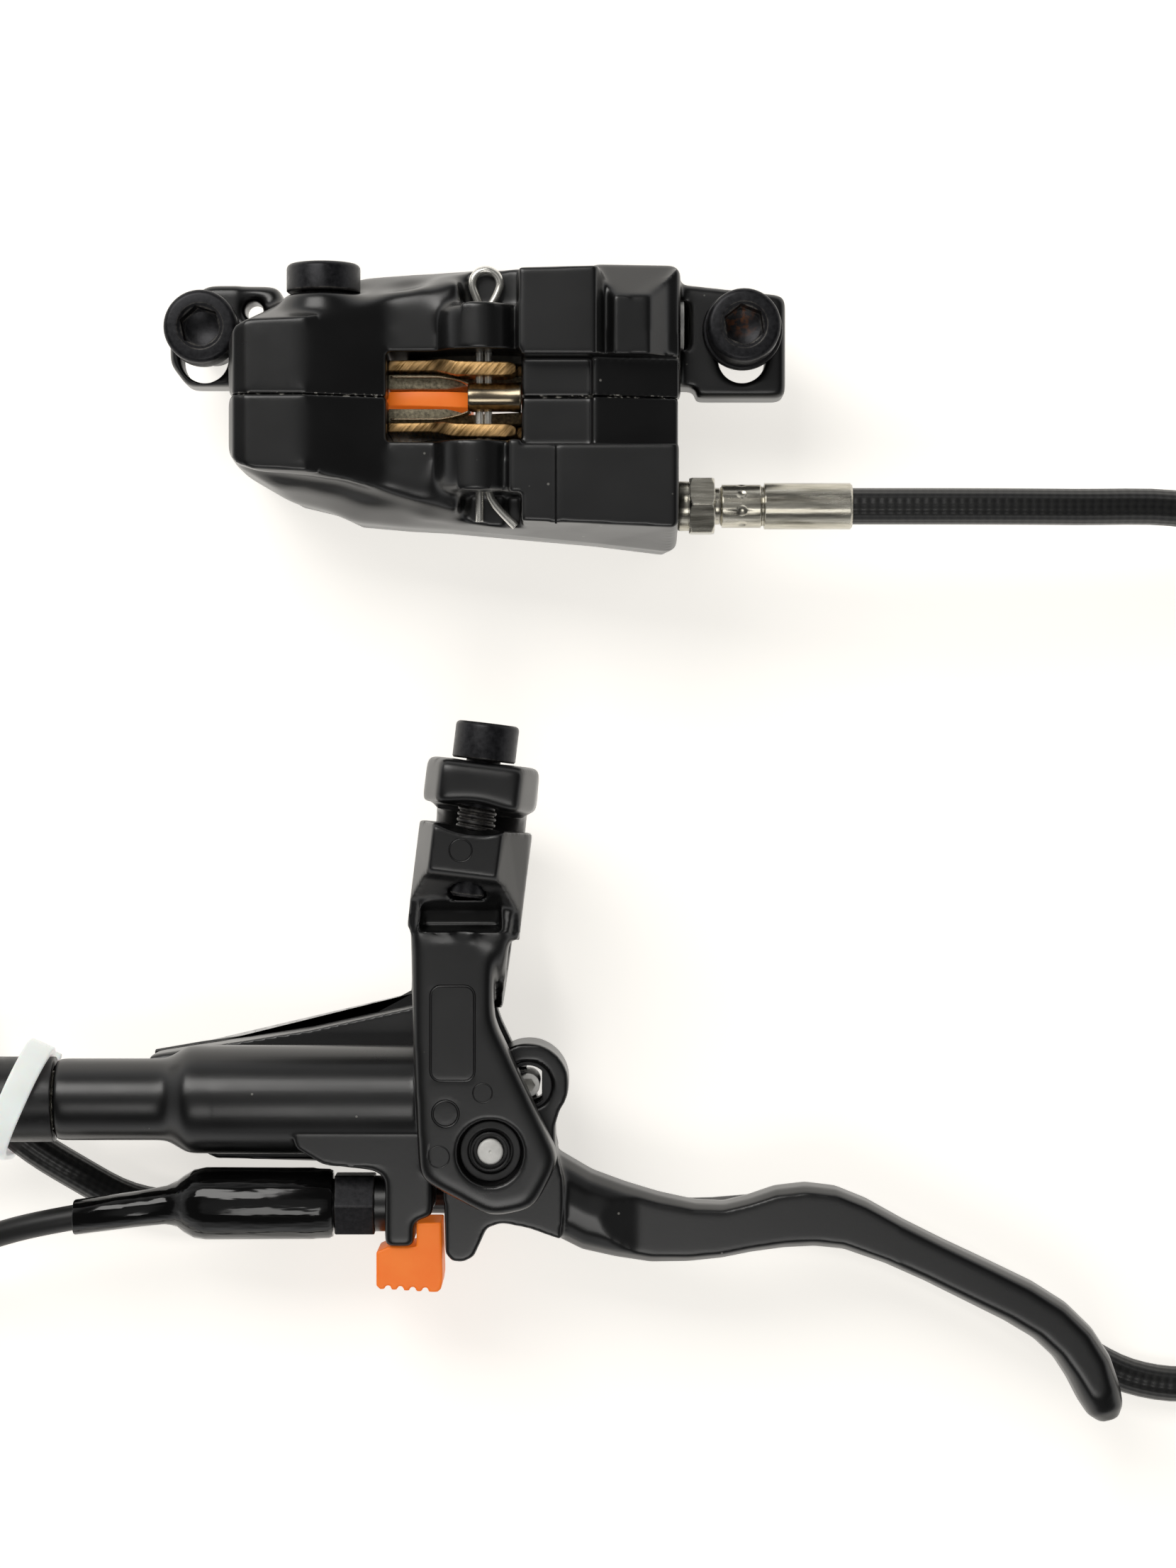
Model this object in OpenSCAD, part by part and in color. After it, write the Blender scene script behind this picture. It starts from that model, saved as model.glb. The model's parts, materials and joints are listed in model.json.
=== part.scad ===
// Hydraulic disc brake for a bicycle: hand lever with master cylinder,
// cut-off switch, hose and two-piston caliper, laid out flat.
// All sizes in millimetres. X runs to the blade tip, Z points up.

/* [Placement] */
// Lever pivot from the middle of the layout, X
pivot_x = -5.5; // [-8:0.5:-4]
// Lever pivot from the middle of the layout, Y
pivot_y = -41; // [-44:0.5:-39]
// Split pin of the caliper from the lever pivot, X
cal_x = -1; // [-3:0.5:2]
// Seam of the caliper from the lever pivot, Y
cal_y = 102; // [100:0.5:104]

/* [Lever housing] */
// Height of the cylinder and bar axis over the ground
mid_z = 17;
// Radius of the handlebar seat
bar_r = 11.1;
// Outer radius of the clamp ring
clamp_r = 15.4; // [15:0.1:15.8]
// Width of the clamp ring
clamp_w = 12.6; // [11.5:0.1:13.4]
// Lean of the clamp seen from above, degrees
clamp_lean = 7;
// Radius of the master cylinder body
cyl_r = 7.5; // [7.2:0.1:7.8]
// Radius of the master bore
bore_r = 4.5;
// Height of the upper cheek face
cheek_top = 31;

/* [Lever blade] */
// Width of the blade across its face
blade_w = 12; // [11:0.5:13]
// Width of the blade hub between the cheeks
hub_w = 13.4;
// Radius of the pivot pin
pin_r = 1.75;

/* [Hose and cable] */
// Radius of the brake hose
hose_r = 2.5;
// Radius of the switch cable
cable_r = 1.75;

/* [Caliper] */
// Height of the caliper body
cal_h = 34;
// Half width of the rotor slot
slot_y = 2.3;
// Radius of the caliper pistons
piston_r = 11;
// Height of the piston axis
piston_z = 13;
// Height of the split pin
pin_z = 27.8;
// Distance between the two mounting bolts
post_gap = 74;
// Left mounting bolt from the split pin, X
post_left = -38.6;
// Mounting bolts from the seam, Y
post_y = 10;
// Top face of the mounting ears
ear_top = 20;
// Thickness of the friction linings
lining_t = 2; // [1.6:0.1:2]

/* [Hidden] */
$fn = 32;

cyl_y = 6.1;        // master cylinder axis from the pivot
sensor_y = -8.3;    // cut-off switch axis from the pivot
eye = [5, 8.5];     // pushrod pin from the pivot
ball_x = -13.5;     // ball of the pushrod in the piston
fit_y = -14.4;      // hose fitting axis from the seam
fit_z = 24;         // hose fitting axis height
post_right = post_left + post_gap;

// Helpers: frames, unit vectors, outlines and swept tubes
module lever_frame() { translate([pivot_x, pivot_y, 0]) children(); }
module caliper_frame() { lever_frame() translate([cal_x, cal_y, 0]) children(); }
module clamp_frame() { lever_frame() translate([-3, 34.8, mid_z]) rotate([0, 0, -clamp_lean]) children(); }
module x_rod(x0, x1, r, y, z) { translate([x0, y, z]) rotate([0, 90, 0]) cylinder(h = x1 - x0, r = r); }
module x_cone(x0, x1, r0, r1, y, z) { translate([x0, y, z]) rotate([0, 90, 0]) cylinder(h = x1 - x0, r1 = r0, r2 = r1); }
module y_rod(y0, y1, r, x, z) { translate([x, y1, z]) rotate([90, 0, 0]) cylinder(h = y1 - y0, r = r); }
module box(a, b) { translate(a) cube(b - a); }
function unit(v) = v / norm(v);
function soft(p, r, n = 3) = [for (i = [0:len(p) - 1]) let (a = p[(i + len(p) - 1) % len(p)], b = p[i], c = p[(i + 1) % len(p)],
    q = b + r * unit(a - b), s = b + r * unit(c - b)) for (k = [0:n]) let (t = k / n) (1 - t) * (1 - t) * q + 2 * t * (1 - t) * b + t * t * s];
function inset(p, d) = [for (i = [0:len(p) - 1]) let (a = p[(i + len(p) - 1) % len(p)], b = p[i], c = p[(i + 1) % len(p)],
    u = unit(b - a), v = unit(c - b), m = [-u[1], u[0]], n = [-v[1], v[0]]) b + d * (m + n) / (1 + m * n)];
// A solid through outlines at rising heights: each level is [z, outline]
module loft(levels) {
    n = len(levels[0][1]);
    m = len(levels);
    polyhedron(points = [for (l = levels) for (q = l[1]) [q[0], q[1], l[0]]],
        faces = concat([[for (i = [0:n - 1]) i]], [[for (i = [n - 1:-1:0]) (m - 1) * n + i]],
            [for (j = [0:m - 2]) for (i = [0:n - 1]) [j * n + i, (j + 1) * n + i, (j + 1) * n + (i + 1) % n]],
            [for (j = [0:m - 2]) for (i = [0:n - 1]) [j * n + i, (j + 1) * n + (i + 1) % n, j * n + (i + 1) % n]]), convexity = 6);
}
module slab2(p, z0, z1, e) { loft([[z0, inset(p, e)], [z0 + e, p], [z1 - e, p], [z1, inset(p, e)]]); }
// A round tube along hand-placed points
function curve(p, n) = concat([for (i = [0:len(p) - 2]) for (k = [0:n - 1]) let (t = k / n, a = p[max(i - 1, 0)], b = p[i], c = p[i + 1], d = p[min(i + 2, len(p) - 1)])
    0.5 * (2 * b + (c - a) * t + (2 * a - 5 * b + 4 * c - d) * t * t + (3 * b - a - 3 * c + d) * t * t * t)], [p[len(p) - 1]]);
module tube(p, r, n) {
    m = len(p);
    polyhedron(points = [for (i = [0:m - 1]) let (t = unit(p[min(i + 1, m - 1)] - p[max(i - 1, 0)]), u = unit(cross(t, [0, 0, 1])), w = cross(u, t))
            for (k = [0:n - 1]) p[i] + r * (cos(360 * k / n) * u + sin(360 * k / n) * w)],
        faces = concat([[for (k = [n - 1:-1:0]) k]], [[for (k = [0:n - 1]) (m - 1) * n + k]],
            [for (i = [0:m - 2]) for (k = [0:n - 1]) [i * n + k, i * n + (k + 1) % n, (i + 1) * n + (k + 1) % n]],
            [for (i = [0:m - 2]) for (k = [0:n - 1]) [i * n + k, (i + 1) * n + (k + 1) % n, (i + 1) * n + k]]), convexity = 10);
}

// Outlines from the pivot, seen from above, counter-clockwise
cheek = soft([[-10.8, 33], [-10.4, 12], [-9.6, -3.6], [0, -8.8], [6, -7.6], [9.4, -1], [0.4, 18], [0.6, 33]], 1.6, 2);
web = [[-10.5, 30], [-10, 16], [-9.2, -3.2], [-8, -3.2], [-8, 14], [-6, 16.6], [-1.2, 16.6], [-0.9, 18], [-0.8, 30]];
foot = soft([[-27, 0], [-23, -2.4], [-16, -3.2], [-14.6, -4.2], [-14.6, -13.6], [-10.6, -13.6], [-10.6, -10.2], [-8, -9.4], [-8, 2], [-27, 2]], 0.8, 2);
tank = [[-48.3, 11.8], [-48.6, 5], [-45, 0.2], [-38.6, -2.6], [-15, -3.3], [-10.2, -3.3], [-10.2, 18.7], [-17.5, 17.1], [-25.7, 15.3], [-35, 13.8], [-42, 12.8]];
lid = [[-48.4, 11.9], [-48.7, 5], [-45.1, 0.1], [-38.7, -2.8], [-15, -3.5], [-4, -3.5], [-2.4, -1.5], [-2.4, 17], [-5, 20.6], [-11.6, 20.5], [-17.6, 17.3], [-25.7, 15.5], [-35, 14], [-42, 13]];
screws = [[-44.4, 7], [-14, 0.6], [-14, 13.6]];
ports = [[-27, 0.4], [-20.5, 0.8]];

module ears_side() { polygon([[-7.6, -3], [-7.6, 14.6], [-5.4, 21.4], [5.4, 21.4], [7.6, 14.6], [7.6, -3]]); }
module ear_lower() { intersection() {
    rotate([90, 0, 90]) linear_extrude(height = 16, center = true) polygon([[-5.4, 13.6], [-1.6, 14.8], [1.8, 19.2], [2.4, 20.8], [3, 21.4], [8.6, 21.4], [9.2, 20.8], [9.2, 1], [-5.4, 1]]);
    translate([0, 20, 0]) rotate([90, 0, 0]) linear_extrude(height = 40) ears_side();
} }
module ear_upper() { intersection() {
    rotate([90, 0, 90]) linear_extrude(height = 16, center = true) polygon([[11.8, 20.8], [12.4, 21.4], [17.2, 21.4], [18, 20.4], [18, 10], [16, 4.6], [14.6, 0], [11.8, 0]]);
    translate([0, 20, 0]) rotate([90, 0, 0]) linear_extrude(height = 40) ears_side();
} }

module lever_housing() color("#1d1d1e") difference() {
    union() {
        clamp_frame() {
            x_rod(-clamp_w / 2, clamp_w / 2, clamp_r, 0, 0);
            ear_lower();
            ear_upper();
        }
        lever_frame() {
            x_rod(-42, -8.4, cyl_r, cyl_y, mid_z);
            x_cone(-45, -42, 5.7, cyl_r, cyl_y, mid_z);
            x_rod(-60.4, -45, 5.7, cyl_y, mid_z);
            translate([0, 0, mid_z + hub_w / 2 + 0.25]) linear_extrude(height = cheek_top - mid_z - hub_w / 2 - 0.25) polygon(cheek);
            translate([0, 0, 5.8]) linear_extrude(height = mid_z - hub_w / 2 - 6.05) polygon(cheek);
            translate([0, 0, 8]) linear_extrude(height = 18) polygon(web);
            translate([0, 0, 10.8]) linear_extrude(height = 12.4) polygon(foot);
            translate([0, 0, 2.9]) linear_extrude(height = 9) polygon(tank);
        }
    }
    clamp_frame() {
        x_rod(-20, 20, bar_r, 0, 0);
        translate([-12, 9.2, 3.5]) cube([24, 2.6, 30]);
        y_rod(-12, 11, 2.55, 0, 16.4);
        y_rod(9, 30, 2.75, 0, 16.4);
    }
    lever_frame() {
        x_rod(-41, -5, bore_r, cyl_y, mid_z);
        x_rod(-61, -51, 4, cyl_y, mid_z);
        x_rod(-52, -40, 1.4, cyl_y, mid_z);
        translate([0, 0, mid_z]) cylinder(h = 30, r = 4.1);
        translate([0, 0, cheek_top - 2.6]) cylinder(h = 5, r = 4.5);
        cylinder(h = mid_z, r = 2.9);
        x_rod(-16, -7, 3.02, sensor_y, mid_z);
        translate([0, 0, 2]) linear_extrude(height = 6.8) difference() {
            polygon(inset(tank, 1.8));
            for (s = screws) translate(s) circle(r = 2.8);
        }
        for (s = screws) translate([s[0], s[1], 1]) cylinder(h = 7, r = 1.22);
        for (q = ports) translate([q[0], cyl_y, 8]) cylinder(h = 6, r = q[1]);
        translate([0, 0, cheek_top - 0.4]) linear_extrude(height = 1) difference() {
            polygon(soft([[-8.2, 22.6], [-8.2, 9.4], [-2, 9.4], [-2, 22.6]], 1.5, 3));
            polygon(soft([[-7.8, 22.2], [-7.8, 9.8], [-2.4, 9.8], [-2.4, 22.2]], 1.3, 3));
        }
        translate([-6, 5.4, cheek_top - 0.4]) difference() {
            cylinder(h = 1, r = 1.85);
            translate([0, 0, -1]) cylinder(h = 3, r = 1.5);
        }
    }
}

module clamp_bolt() color("#26262a") clamp_frame() difference() {
    union() {
        y_rod(-0.4, 18.2, 2.5, 0, 16.4);
        y_rod(18, 23.2, 4.25, 0, 16.4);
    }
    translate([0, 30, 16.4]) rotate([90, 0, 0]) cylinder(h = 9.4, r = 2.3, $fn = 6);
}

hub_z = mid_z - hub_w / 2;
// Upper and lower edge of the blade and its half height, station by station
blade_st = [[[7.5, 2.5], [5, -10.5], 6.2], [[9.2, -0.8], [8.4, -12.6], 6.1], [[13.8, -3.5], [12.4, -14.6], 6], [[18.4, -5.2], [17, -15.6], 6],
    [[23, -6.6], [21.8, -16.3], 6], [[28, -7.7], [27, -16.2], 6], [[32, -7.9], [31.6, -15.7], 6], [[35.3, -7.1], [35.6, -14.9], 6],
    [[39, -5.8], [40.2, -14.3], 6], [[43.2, -5.3], [44.4, -14.1], 6], [[47.4, -5.8], [48.4, -14.5], 6], [[51.6, -7.5], [50.4, -15.2], 6],
    [[56.8, -10.4], [54, -16.4], 5.9], [[62.4, -13.2], [59.4, -18.8], 5.8], [[68.6, -16.1], [65.4, -21.8], 5.6], [[74.6, -19], [70.6, -24.4], 5.4],
    [[79.2, -21.9], [74.6, -26.8], 5.3], [[82.8, -25.4], [77.4, -29.4], 5.2], [[85.3, -29.2], [79.2, -32.2], 5], [[86.7, -33.2], [80.8, -35.3], 4.6],
    [[87.1, -35.8], [82.2, -37.4], 3.8], [[86.5, -37.7], [83.8, -38.4], 2.2]];
function ovl(a) = let (c = cos(a), s = sin(a)) [sign(c) * pow(abs(c), 0.8), sign(s) * pow(abs(s), 0.75)];
module lever_blade() color("#202021") lever_frame() difference() {
    union() {
        polyhedron(points = [for (q = blade_st) let (c = (q[0] + q[1]) / 2, h = (q[0] - q[1]) / 2) for (k = [0:15])
                let (o = ovl(k * 22.5)) [c[0] + h[0] * o[0], c[1] + h[1] * o[0], mid_z + q[2] * blade_w / 12 * o[1]]],
            faces = let (m = len(blade_st)) concat([[for (k = [0:15]) k]], [[for (k = [15:-1:0]) (m - 1) * 16 + k]],
                [for (i = [0:m - 2]) for (k = [0:15]) [i * 16 + k, (i + 1) * 16 + (k + 1) % 16, i * 16 + (k + 1) % 16]],
                [for (i = [0:m - 2]) for (k = [0:15]) [i * 16 + k, (i + 1) * 16 + k, (i + 1) * 16 + (k + 1) % 16]]), convexity = 6);
        translate([0, 0, hub_z]) linear_extrude(height = hub_w) {
            translate([5, 8.7]) circle(r = 5.6);
            circle(r = 7.3);
            polygon([[-5, 5], [-7.2, -2], [-6.5, -7.4], [-6.3, -14.4], [-5.4, -15.5], [-4, -15.7], [-2.4, -14.9], [-0.6, -11], [1.4, -10.3], [5, -11], [9.6, -12.6], [10, -5], [8.8, 0.2], [8.7, 3], [9.6, 6], [4, 12]]);
        }
    }
    translate([0, 0, -1]) cylinder(h = 60, r = pin_r + 0.05);
    translate([eye[0], eye[1], -1]) cylinder(h = 60, r = 3.3);
    translate([0, 0, mid_z - 2.6]) linear_extrude(height = 5.2) polygon([[-12, 14], [-12, 2.5], [1, 4.2], [4.6, 5], [8.1, 6], [8.1, 11], [4.6, 12.4], [0, 13]]);
    x_rod(-8, -4.2, 1.62, -10, mid_z);
}

module eye_bush() color("#1a1a1a") lever_frame() for (z = [hub_z + 0.5, mid_z + 2.7]) translate([eye[0], eye[1], z])
    linear_extrude(height = hub_w / 2 - 3.2) difference() {
        circle(r = 3.28);
        difference() {
            intersection() { circle(r = 2.75); translate([-5, -5]) square([6.9, 10]); }
            translate([-5, -1.9]) square([4.65, 3.8]);
        }
        circle(r = 1.66);
    }

module pushrod_pin() color("#9b9b98") lever_frame() translate([eye[0], eye[1], hub_z + 0.6]) difference() {
    cylinder(h = hub_w - 1.4, r = 1.6);
    translate([0, 0, hub_w - 3.4]) cylinder(h = 3, r = 0.95, $fn = 6);
    translate([0, 0, hub_w / 2 - 0.6]) rotate([0, 0, 7.4]) x_rod(-4, 0.6, 1.2, 0, 0);
}
module pushrod() color("#8e8e8b") lever_frame() translate([eye[0], eye[1], mid_z]) rotate([0, 0, 7.4]) {
    x_rod(-18.4, 0.5, 1.18, 0, 0);
    x_rod(-9.4, -2.2, 1.7, 0, 0);
    translate([-18.65, 0, 0]) sphere(r = 1.8);
}

module master_piston() color("#b9a25f") lever_frame() difference() {
    union() {
        x_rod(-17.4, -12.2, bore_r - 0.05, cyl_y, mid_z);
        x_rod(-19.4, -17, 3.1, cyl_y, mid_z);
        x_rod(-27.2, -19.4, bore_r - 0.05, cyl_y, mid_z);
        x_rod(-29.2, -27, 2.6, cyl_y, mid_z);
        x_rod(-30.4, -29.2, 3.2, cyl_y, mid_z);
        x_rod(-33, -30.2, 1.6, cyl_y, mid_z);
    }
    x_rod(ball_x, -11, 2.1, cyl_y, mid_z);
    translate([ball_x, cyl_y, mid_z]) sphere(r = 2.1);
}
module cup(x0, x1, ri) { difference() {
    x_rod(x0, x1, bore_r - 0.03, cyl_y, mid_z);
    x_rod(x0 - 1, x1 + 1, ri, cyl_y, mid_z);
} }
module primary_cup() color("#101010") lever_frame() cup(-29.1, -27.3, 2.62);
module secondary_cup() color("#101010") lever_frame() cup(-19.3, -17.5, 3.12);
module return_spring() color("#a8a8a6") lever_frame() translate([-30.86, cyl_y, mid_z]) polyhedron(
    points = [for (i = [0:54]) let (a = i * 36, x = -6.9 * i / 54) for (k = [0:5]) let (q = 3 + 0.45 * cos(60 * k)) [x + 0.45 * sin(60 * k), q * cos(a), q * sin(a)]],
    faces = concat([[for (k = [0:5]) k]], [[for (k = [5:-1:0]) 324 + k]],
        [for (i = [0:53]) for (k = [0:5]) [i * 6 + k, (i + 1) * 6 + (k + 1) % 6, i * 6 + (k + 1) % 6]],
        [for (i = [0:53]) for (k = [0:5]) [i * 6 + k, (i + 1) * 6 + k, (i + 1) * 6 + (k + 1) % 6]]), convexity = 10);
module piston_retainer() color("#3a3a3c") lever_frame() difference() {
    x_rod(-10.4, -9.4, bore_r - 0.01, cyl_y, mid_z);
    x_rod(-12, -8, 3.4, cyl_y, mid_z);
}

module reservoir_diaphragm() color("#0e0e0e") lever_frame() translate([0, 0, 2.1]) linear_extrude(height = 0.8) difference() {
    polygon(tank);
    for (s = screws) translate(s) circle(r = 1.4);
}
module reservoir_cover() color("#1b1b1c") lever_frame() difference() {
    slab2(lid, 0, 2.1, 0.5);
    for (s = screws) translate([s[0], s[1], -1]) cylinder(h = 5, r = 1.4);
    for (s = screws) translate([s[0], s[1], -0.01]) cylinder(h = 1.4, r1 = 2.6, r2 = 1.3);
    translate([-29, 6, -1]) cylinder(h = 5, r = 2.52);
}
module cover_screws() color("#2a2a2c") lever_frame() for (s = screws) translate([s[0], s[1], 0.15]) difference() {
    union() {
        cylinder(h = 1.2, r1 = 2.3, r2 = 1.2);
        translate([0, 0, 0.6]) cylinder(h = 6.2, r = 1.2);
    }
    translate([0, 0, -0.5]) cylinder(h = 1.3, r = 0.9, $fn = 6);
}
module lever_bleed_screw() color("#2c2c2e") lever_frame() translate([-29, 6, 0.2]) difference() {
    cylinder(h = 1.88, r = 2.5);
    translate([0, 0, -0.5]) cylinder(h = 1.6, r = 1.4, $fn = 6);
}

module hose_cover() color("#151515") lever_frame() difference() {
    union() {
        x_rod(-73, -60.5, 5.9, cyl_y, mid_z);
        x_cone(-76, -73, 4.2, 5.9, cyl_y, mid_z);
    }
    x_rod(-68.4, -60, 4.65, cyl_y, mid_z);
    x_rod(-80, -68, hose_r + 0.05, cyl_y, mid_z);
    box([-64.8, cyl_y + 0.4, mid_z + 5.5], [-63.9, cyl_y + 5, mid_z + 8]);
}
module compression_nut() color("#9a9a98") lever_frame() difference() {
    union() {
        x_rod(-60.5, -54, 3.96, cyl_y, mid_z);
        translate([-66.6, cyl_y, mid_z]) rotate([0, 90, 0]) cylinder(h = 6.1, r = 4.6, $fn = 6);
    }
    x_rod(-70, -50, hose_r + 0.05, cyl_y, mid_z);
}
module olive() color("#b08d3f") lever_frame() difference() {
    x_rod(-53.95, -52.2, 3.6, cyl_y, mid_z);
    x_rod(-55, -50, hose_r + 0.05, cyl_y, mid_z);
}
module hose_insert() color("#b5984c") lever_frame() difference() {
    x_rod(-52.1, -51.05, 3.4, cyl_y, mid_z);
    x_rod(-55, -50, 0.8, cyl_y, mid_z);
}

// Tie around the hose cover and the hose that comes back under it
module tie_loop(d) { hull() { for (y = [-1.35, 1.35]) translate([y, mid_z]) circle(r = 6.1 + d); translate([-5.2, 8.3]) circle(r = 3.1 + d); } }
module hose_tie() color("#e6e4dd") lever_frame() translate([-65.6, cyl_y, 0]) rotate([0, 0, -24]) {
    translate([-1.8, 0, 0]) rotate([90, 0, 90]) linear_extrude(height = 3.6) difference() {
        tie_loop(1.1);
        tie_loop(0);
    }
    translate([-2.4, 4.4, 9]) rotate([-31, 0, 0]) translate([0, -1.2, -2.4]) cube([4.8, 3.2, 5]);
}

module switch_sensor() color("#222224") lever_frame() {
    x_rod(-16.3, -10.6, 3, sensor_y, mid_z);
    translate([-21.7, sensor_y, mid_z]) rotate([0, 90, 0]) rotate([0, 0, 0]) cylinder(h = 5.5, r = 4.7, $fn = 6);
    x_rod(-37, -21.6, 3.4, sensor_y, mid_z);
}
module sensor_collar() color("#1c1c1d") lever_frame() difference() {
    x_rod(-16.15, -14.65, 3.85, sensor_y, mid_z);
    x_rod(-18, -12, 3.04, sensor_y, mid_z);
}
module switch_boot() color("#0d0d0e") lever_frame() difference() {
    union() {
        x_rod(-24.4, -21.9, 4.8, sensor_y, mid_z);
        x_rod(-40.4, -24.2, 5, sensor_y, mid_z);
        x_cone(-44, -40.4, 2.6, 5, sensor_y, mid_z);
        translate([-43, sensor_y, mid_z]) rotate([0, 0, 7.4]) x_rod(-15, 0, 2.5, 0, 0);
    }
    x_rod(-38, -20, 3.42, sensor_y, mid_z);
    translate([-43, sensor_y, mid_z]) rotate([0, 0, 7.4]) x_rod(-18, 5.6, cable_r + 0.12, 0, 0);
}
cable_pts = [[-38.6, -7.7, 17], [-43, -8.3, 17], [-50, -9.2, 17], [-58.2, -10.3, 17], [-68, -12.6, 15.4], [-79, -17, 11.4], [-90, -24, 6.8], [-99, -33, 3.4],
    [-105, -44, 1.85], [-107, -57, 1.85], [-104, -70, 1.85], [-95, -80, 1.85], [-82, -84, 1.85], [-68, -84, 1.85], [-54, -82.6, 1.85], [-42, -82, 2.6], [-33, -82, 4], [-28.2, -82, 4.2]];
module switch_cable() color("#141414") lever_frame() tube(curve(cable_pts, 3), cable_r, 8);
module cable_connector() color("#1a1a1c") lever_frame() difference() {
    union() {
        x_rod(-31, -25, 3.1, -82, 4.2);
        x_rod(-25, -12, 4.2, -82, 4.2);
        x_rod(-12, -7, 3.5, -82, 4.2);
    }
    x_rod(-32, -28, cable_r + 0.05, -82, 4.2);
    x_rod(-10, -6, 2.7, -82, 4.2);
}

module lever_block() color("#e8662a") lever_frame() translate([0, 0, 11.8]) linear_extrude(height = 10.4)
    polygon([[-15.8, -14.4], [-15.8, -19], [-15.3, -19.5], [-14.7, -19.5], [-14.5, -19], [-13.9, -19], [-13.7, -19.6], [-13, -19.6], [-12.8, -19.1], [-12.2, -19.1],
        [-12, -19.7], [-11.3, -19.7], [-11.1, -19.2], [-10.5, -19.2], [-10.3, -19.8], [-9.6, -19.8], [-9.4, -19.3], [-8.8, -19.3], [-8.6, -19.9], [-7.4, -19.9],
        [-6.9, -19.4], [-6.7, -18], [-6.9, -10.4], [-10.3, -10.4], [-10.3, -13.7], [-14.2, -13.7]]);
module heel_magnet() color("#8c8c8e") lever_frame() x_rod(-6.3, -4.3, 1.6, -10, mid_z);

module pivot_pin() color("#c9c9c4") lever_frame() translate([0, 0, 5.2]) cylinder(h = 24, r = pin_r);
module pivot_bush_upper() color("#191919") lever_frame() difference() {
    translate([0, 0, mid_z + hub_w / 2 + 0.2]) {
        cylinder(h = 4.4, r = 4.08);
        cylinder(h = 5.2, r = 2.7);
    }
    cylinder(h = 40, r = pin_r + 0.01);
    translate([0, 0, 27.4]) difference() { cylinder(h = 4, r = 3.06); translate([0, 0, -1]) cylinder(h = 6, r = 2.69); }
    translate([0, 0, 28]) cylinder(h = 4, r = 2.35);
}
module pivot_bush_lower() color("#191919") lever_frame() difference() {
    translate([0, 0, 5.6]) cylinder(h = mid_z - hub_w / 2 - 5.8, r = 2.88);
    cylinder(h = 40, r = pin_r + 0.01);
}

// Brake hose: master cylinder, loop, tie, under the lever, up to the caliper
hose_pts = [[-52.3, 6.1, 17], [-64, 6.1, 17], [-76, 6.1, 17], [-88, 6.8, 15], [-99, 9, 11.6], [-110, 12, 8], [-119, 18, 5], [-124.6, 27, 3.2],
    [-124.6, 38, 2.5], [-118, 47.6, 2.5], [-107, 52, 2.5], [-96, 49.6, 2.5], [-87.4, 42, 2.5], [-84, 31, 2.5], [-84.6, 20, 2.5], [-90, 10.4, 2.5],
    [-99, 4.6, 2.5], [-110, 3.6, 2.5], [-121, 8, 2.5], [-129, 17, 2.5], [-132.4, 29, 2.5], [-130, 41, 2.5], [-123, 51, 2.5], [-112, 57.4, 2.5],
    [-100, 58.6, 2.5], [-89, 54, 2.5], [-81, 45, 2.5], [-77.4, 33.6, 2.6], [-77, 22, 4], [-75.4, 12.6, 6.4], [-71.8, 5.4, 8], [-66, -0.2, 8.4], [-59, -5, 6.8],
    [-51.6, -9.2, 4.2], [-43, -10.6, 2.7], [-32, -9.6, 2.5], [-20, -8.8, 2.5], [-8, -8.8, 2.5], [4, -9.4, 2.5], [16, -10.4, 2.5], [28, -11.6, 2.5], [40, -11, 2.5],
    [51, -12.6, 2.5], [60.6, -16.8, 2.5], [69.6, -21.4, 2.5], [76.8, -26, 2.5], [83, -30.8, 2.5], [90, -34.4, 2.5], [98, -35.6, 2.5], [106, -34, 2.5], [113, -29.4, 2.5],
    [118, -22, 2.5], [120.4, -12, 2.5], [121, 4, 2.5], [121.4, 20, 2.6], [122, 36, 3.8], [122, 50, 6], [121.6, 61, 8.6], [118.4, 71.4, 11.8], [112, 80, 15],
    [103.4, 85.6, 18], [93.4, 87.6, 20.6], [80, 87.6, 22.8], [66, 87.6, 23.8], [49.2, 87.6, 24], [38.6, 87.6, 24]];
module brake_hose() color("#171717") lever_frame() tube(curve(hose_pts, 1), hose_r, 10);

// Caliper outlines from the split pin and the seam, same count on each level
up_hi = [[-34.2, 0], [26.6, 0], [26.6, 16.6], [26, 17.2], [15, 17.1], [4.6, 16.85], [-1.8, 16.2], [-5.5, 14.9], [-11, 12.7], [-16.6, 11.2], [-22, 10.3], [-31.4, 9.9], [-33.2, 9], [-34.2, 7.2]];
up_lo = [[-34.4, 0], [26.9, 0], [26.9, 17.8], [26.2, 18.5], [15, 18.45], [4.6, 18.35], [-1.8, 18.25], [-5.5, 18.1], [-11, 17.8], [-16.6, 17.4], [-22, 15.8], [-28, 13.9], [-33, 10.6], [-34.4, 8.4]];
dn_hi = [[-34.2, 0], [-34.2, -7.6], [-33, -9.2], [-31, -9.9], [-22, -10.4], [-16.6, -11.1], [-11, -12.4], [-5.4, -14.8], [-1, -16.2], [3.6, -16.9], [15, -17.4], [25.6, -17.9], [26.4, -17.2], [26.4, 0]];
dn_lo = [[-34.4, 0], [-34.4, -8.2], [-32.4, -10.2], [-26.6, -13.6], [-21.4, -14.8], [-18, -16.4], [-11, -17], [-5.4, -17.3], [-1, -17.7], [3.6, -18.1], [15, -19.2], [25.4, -20.4], [26.4, -19.6], [26.4, 0]];
up_base = [[-33.6, 0], [26.2, 0], [26.2, 17], [25.4, 17.7], [15, 17.6], [4.6, 17.5], [-1.8, 17.4], [-5.5, 17.2], [-11, 16.9], [-16.6, 16.5], [-22, 15], [-27.6, 13.1], [-32.3, 10], [-33.6, 8]];
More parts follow.
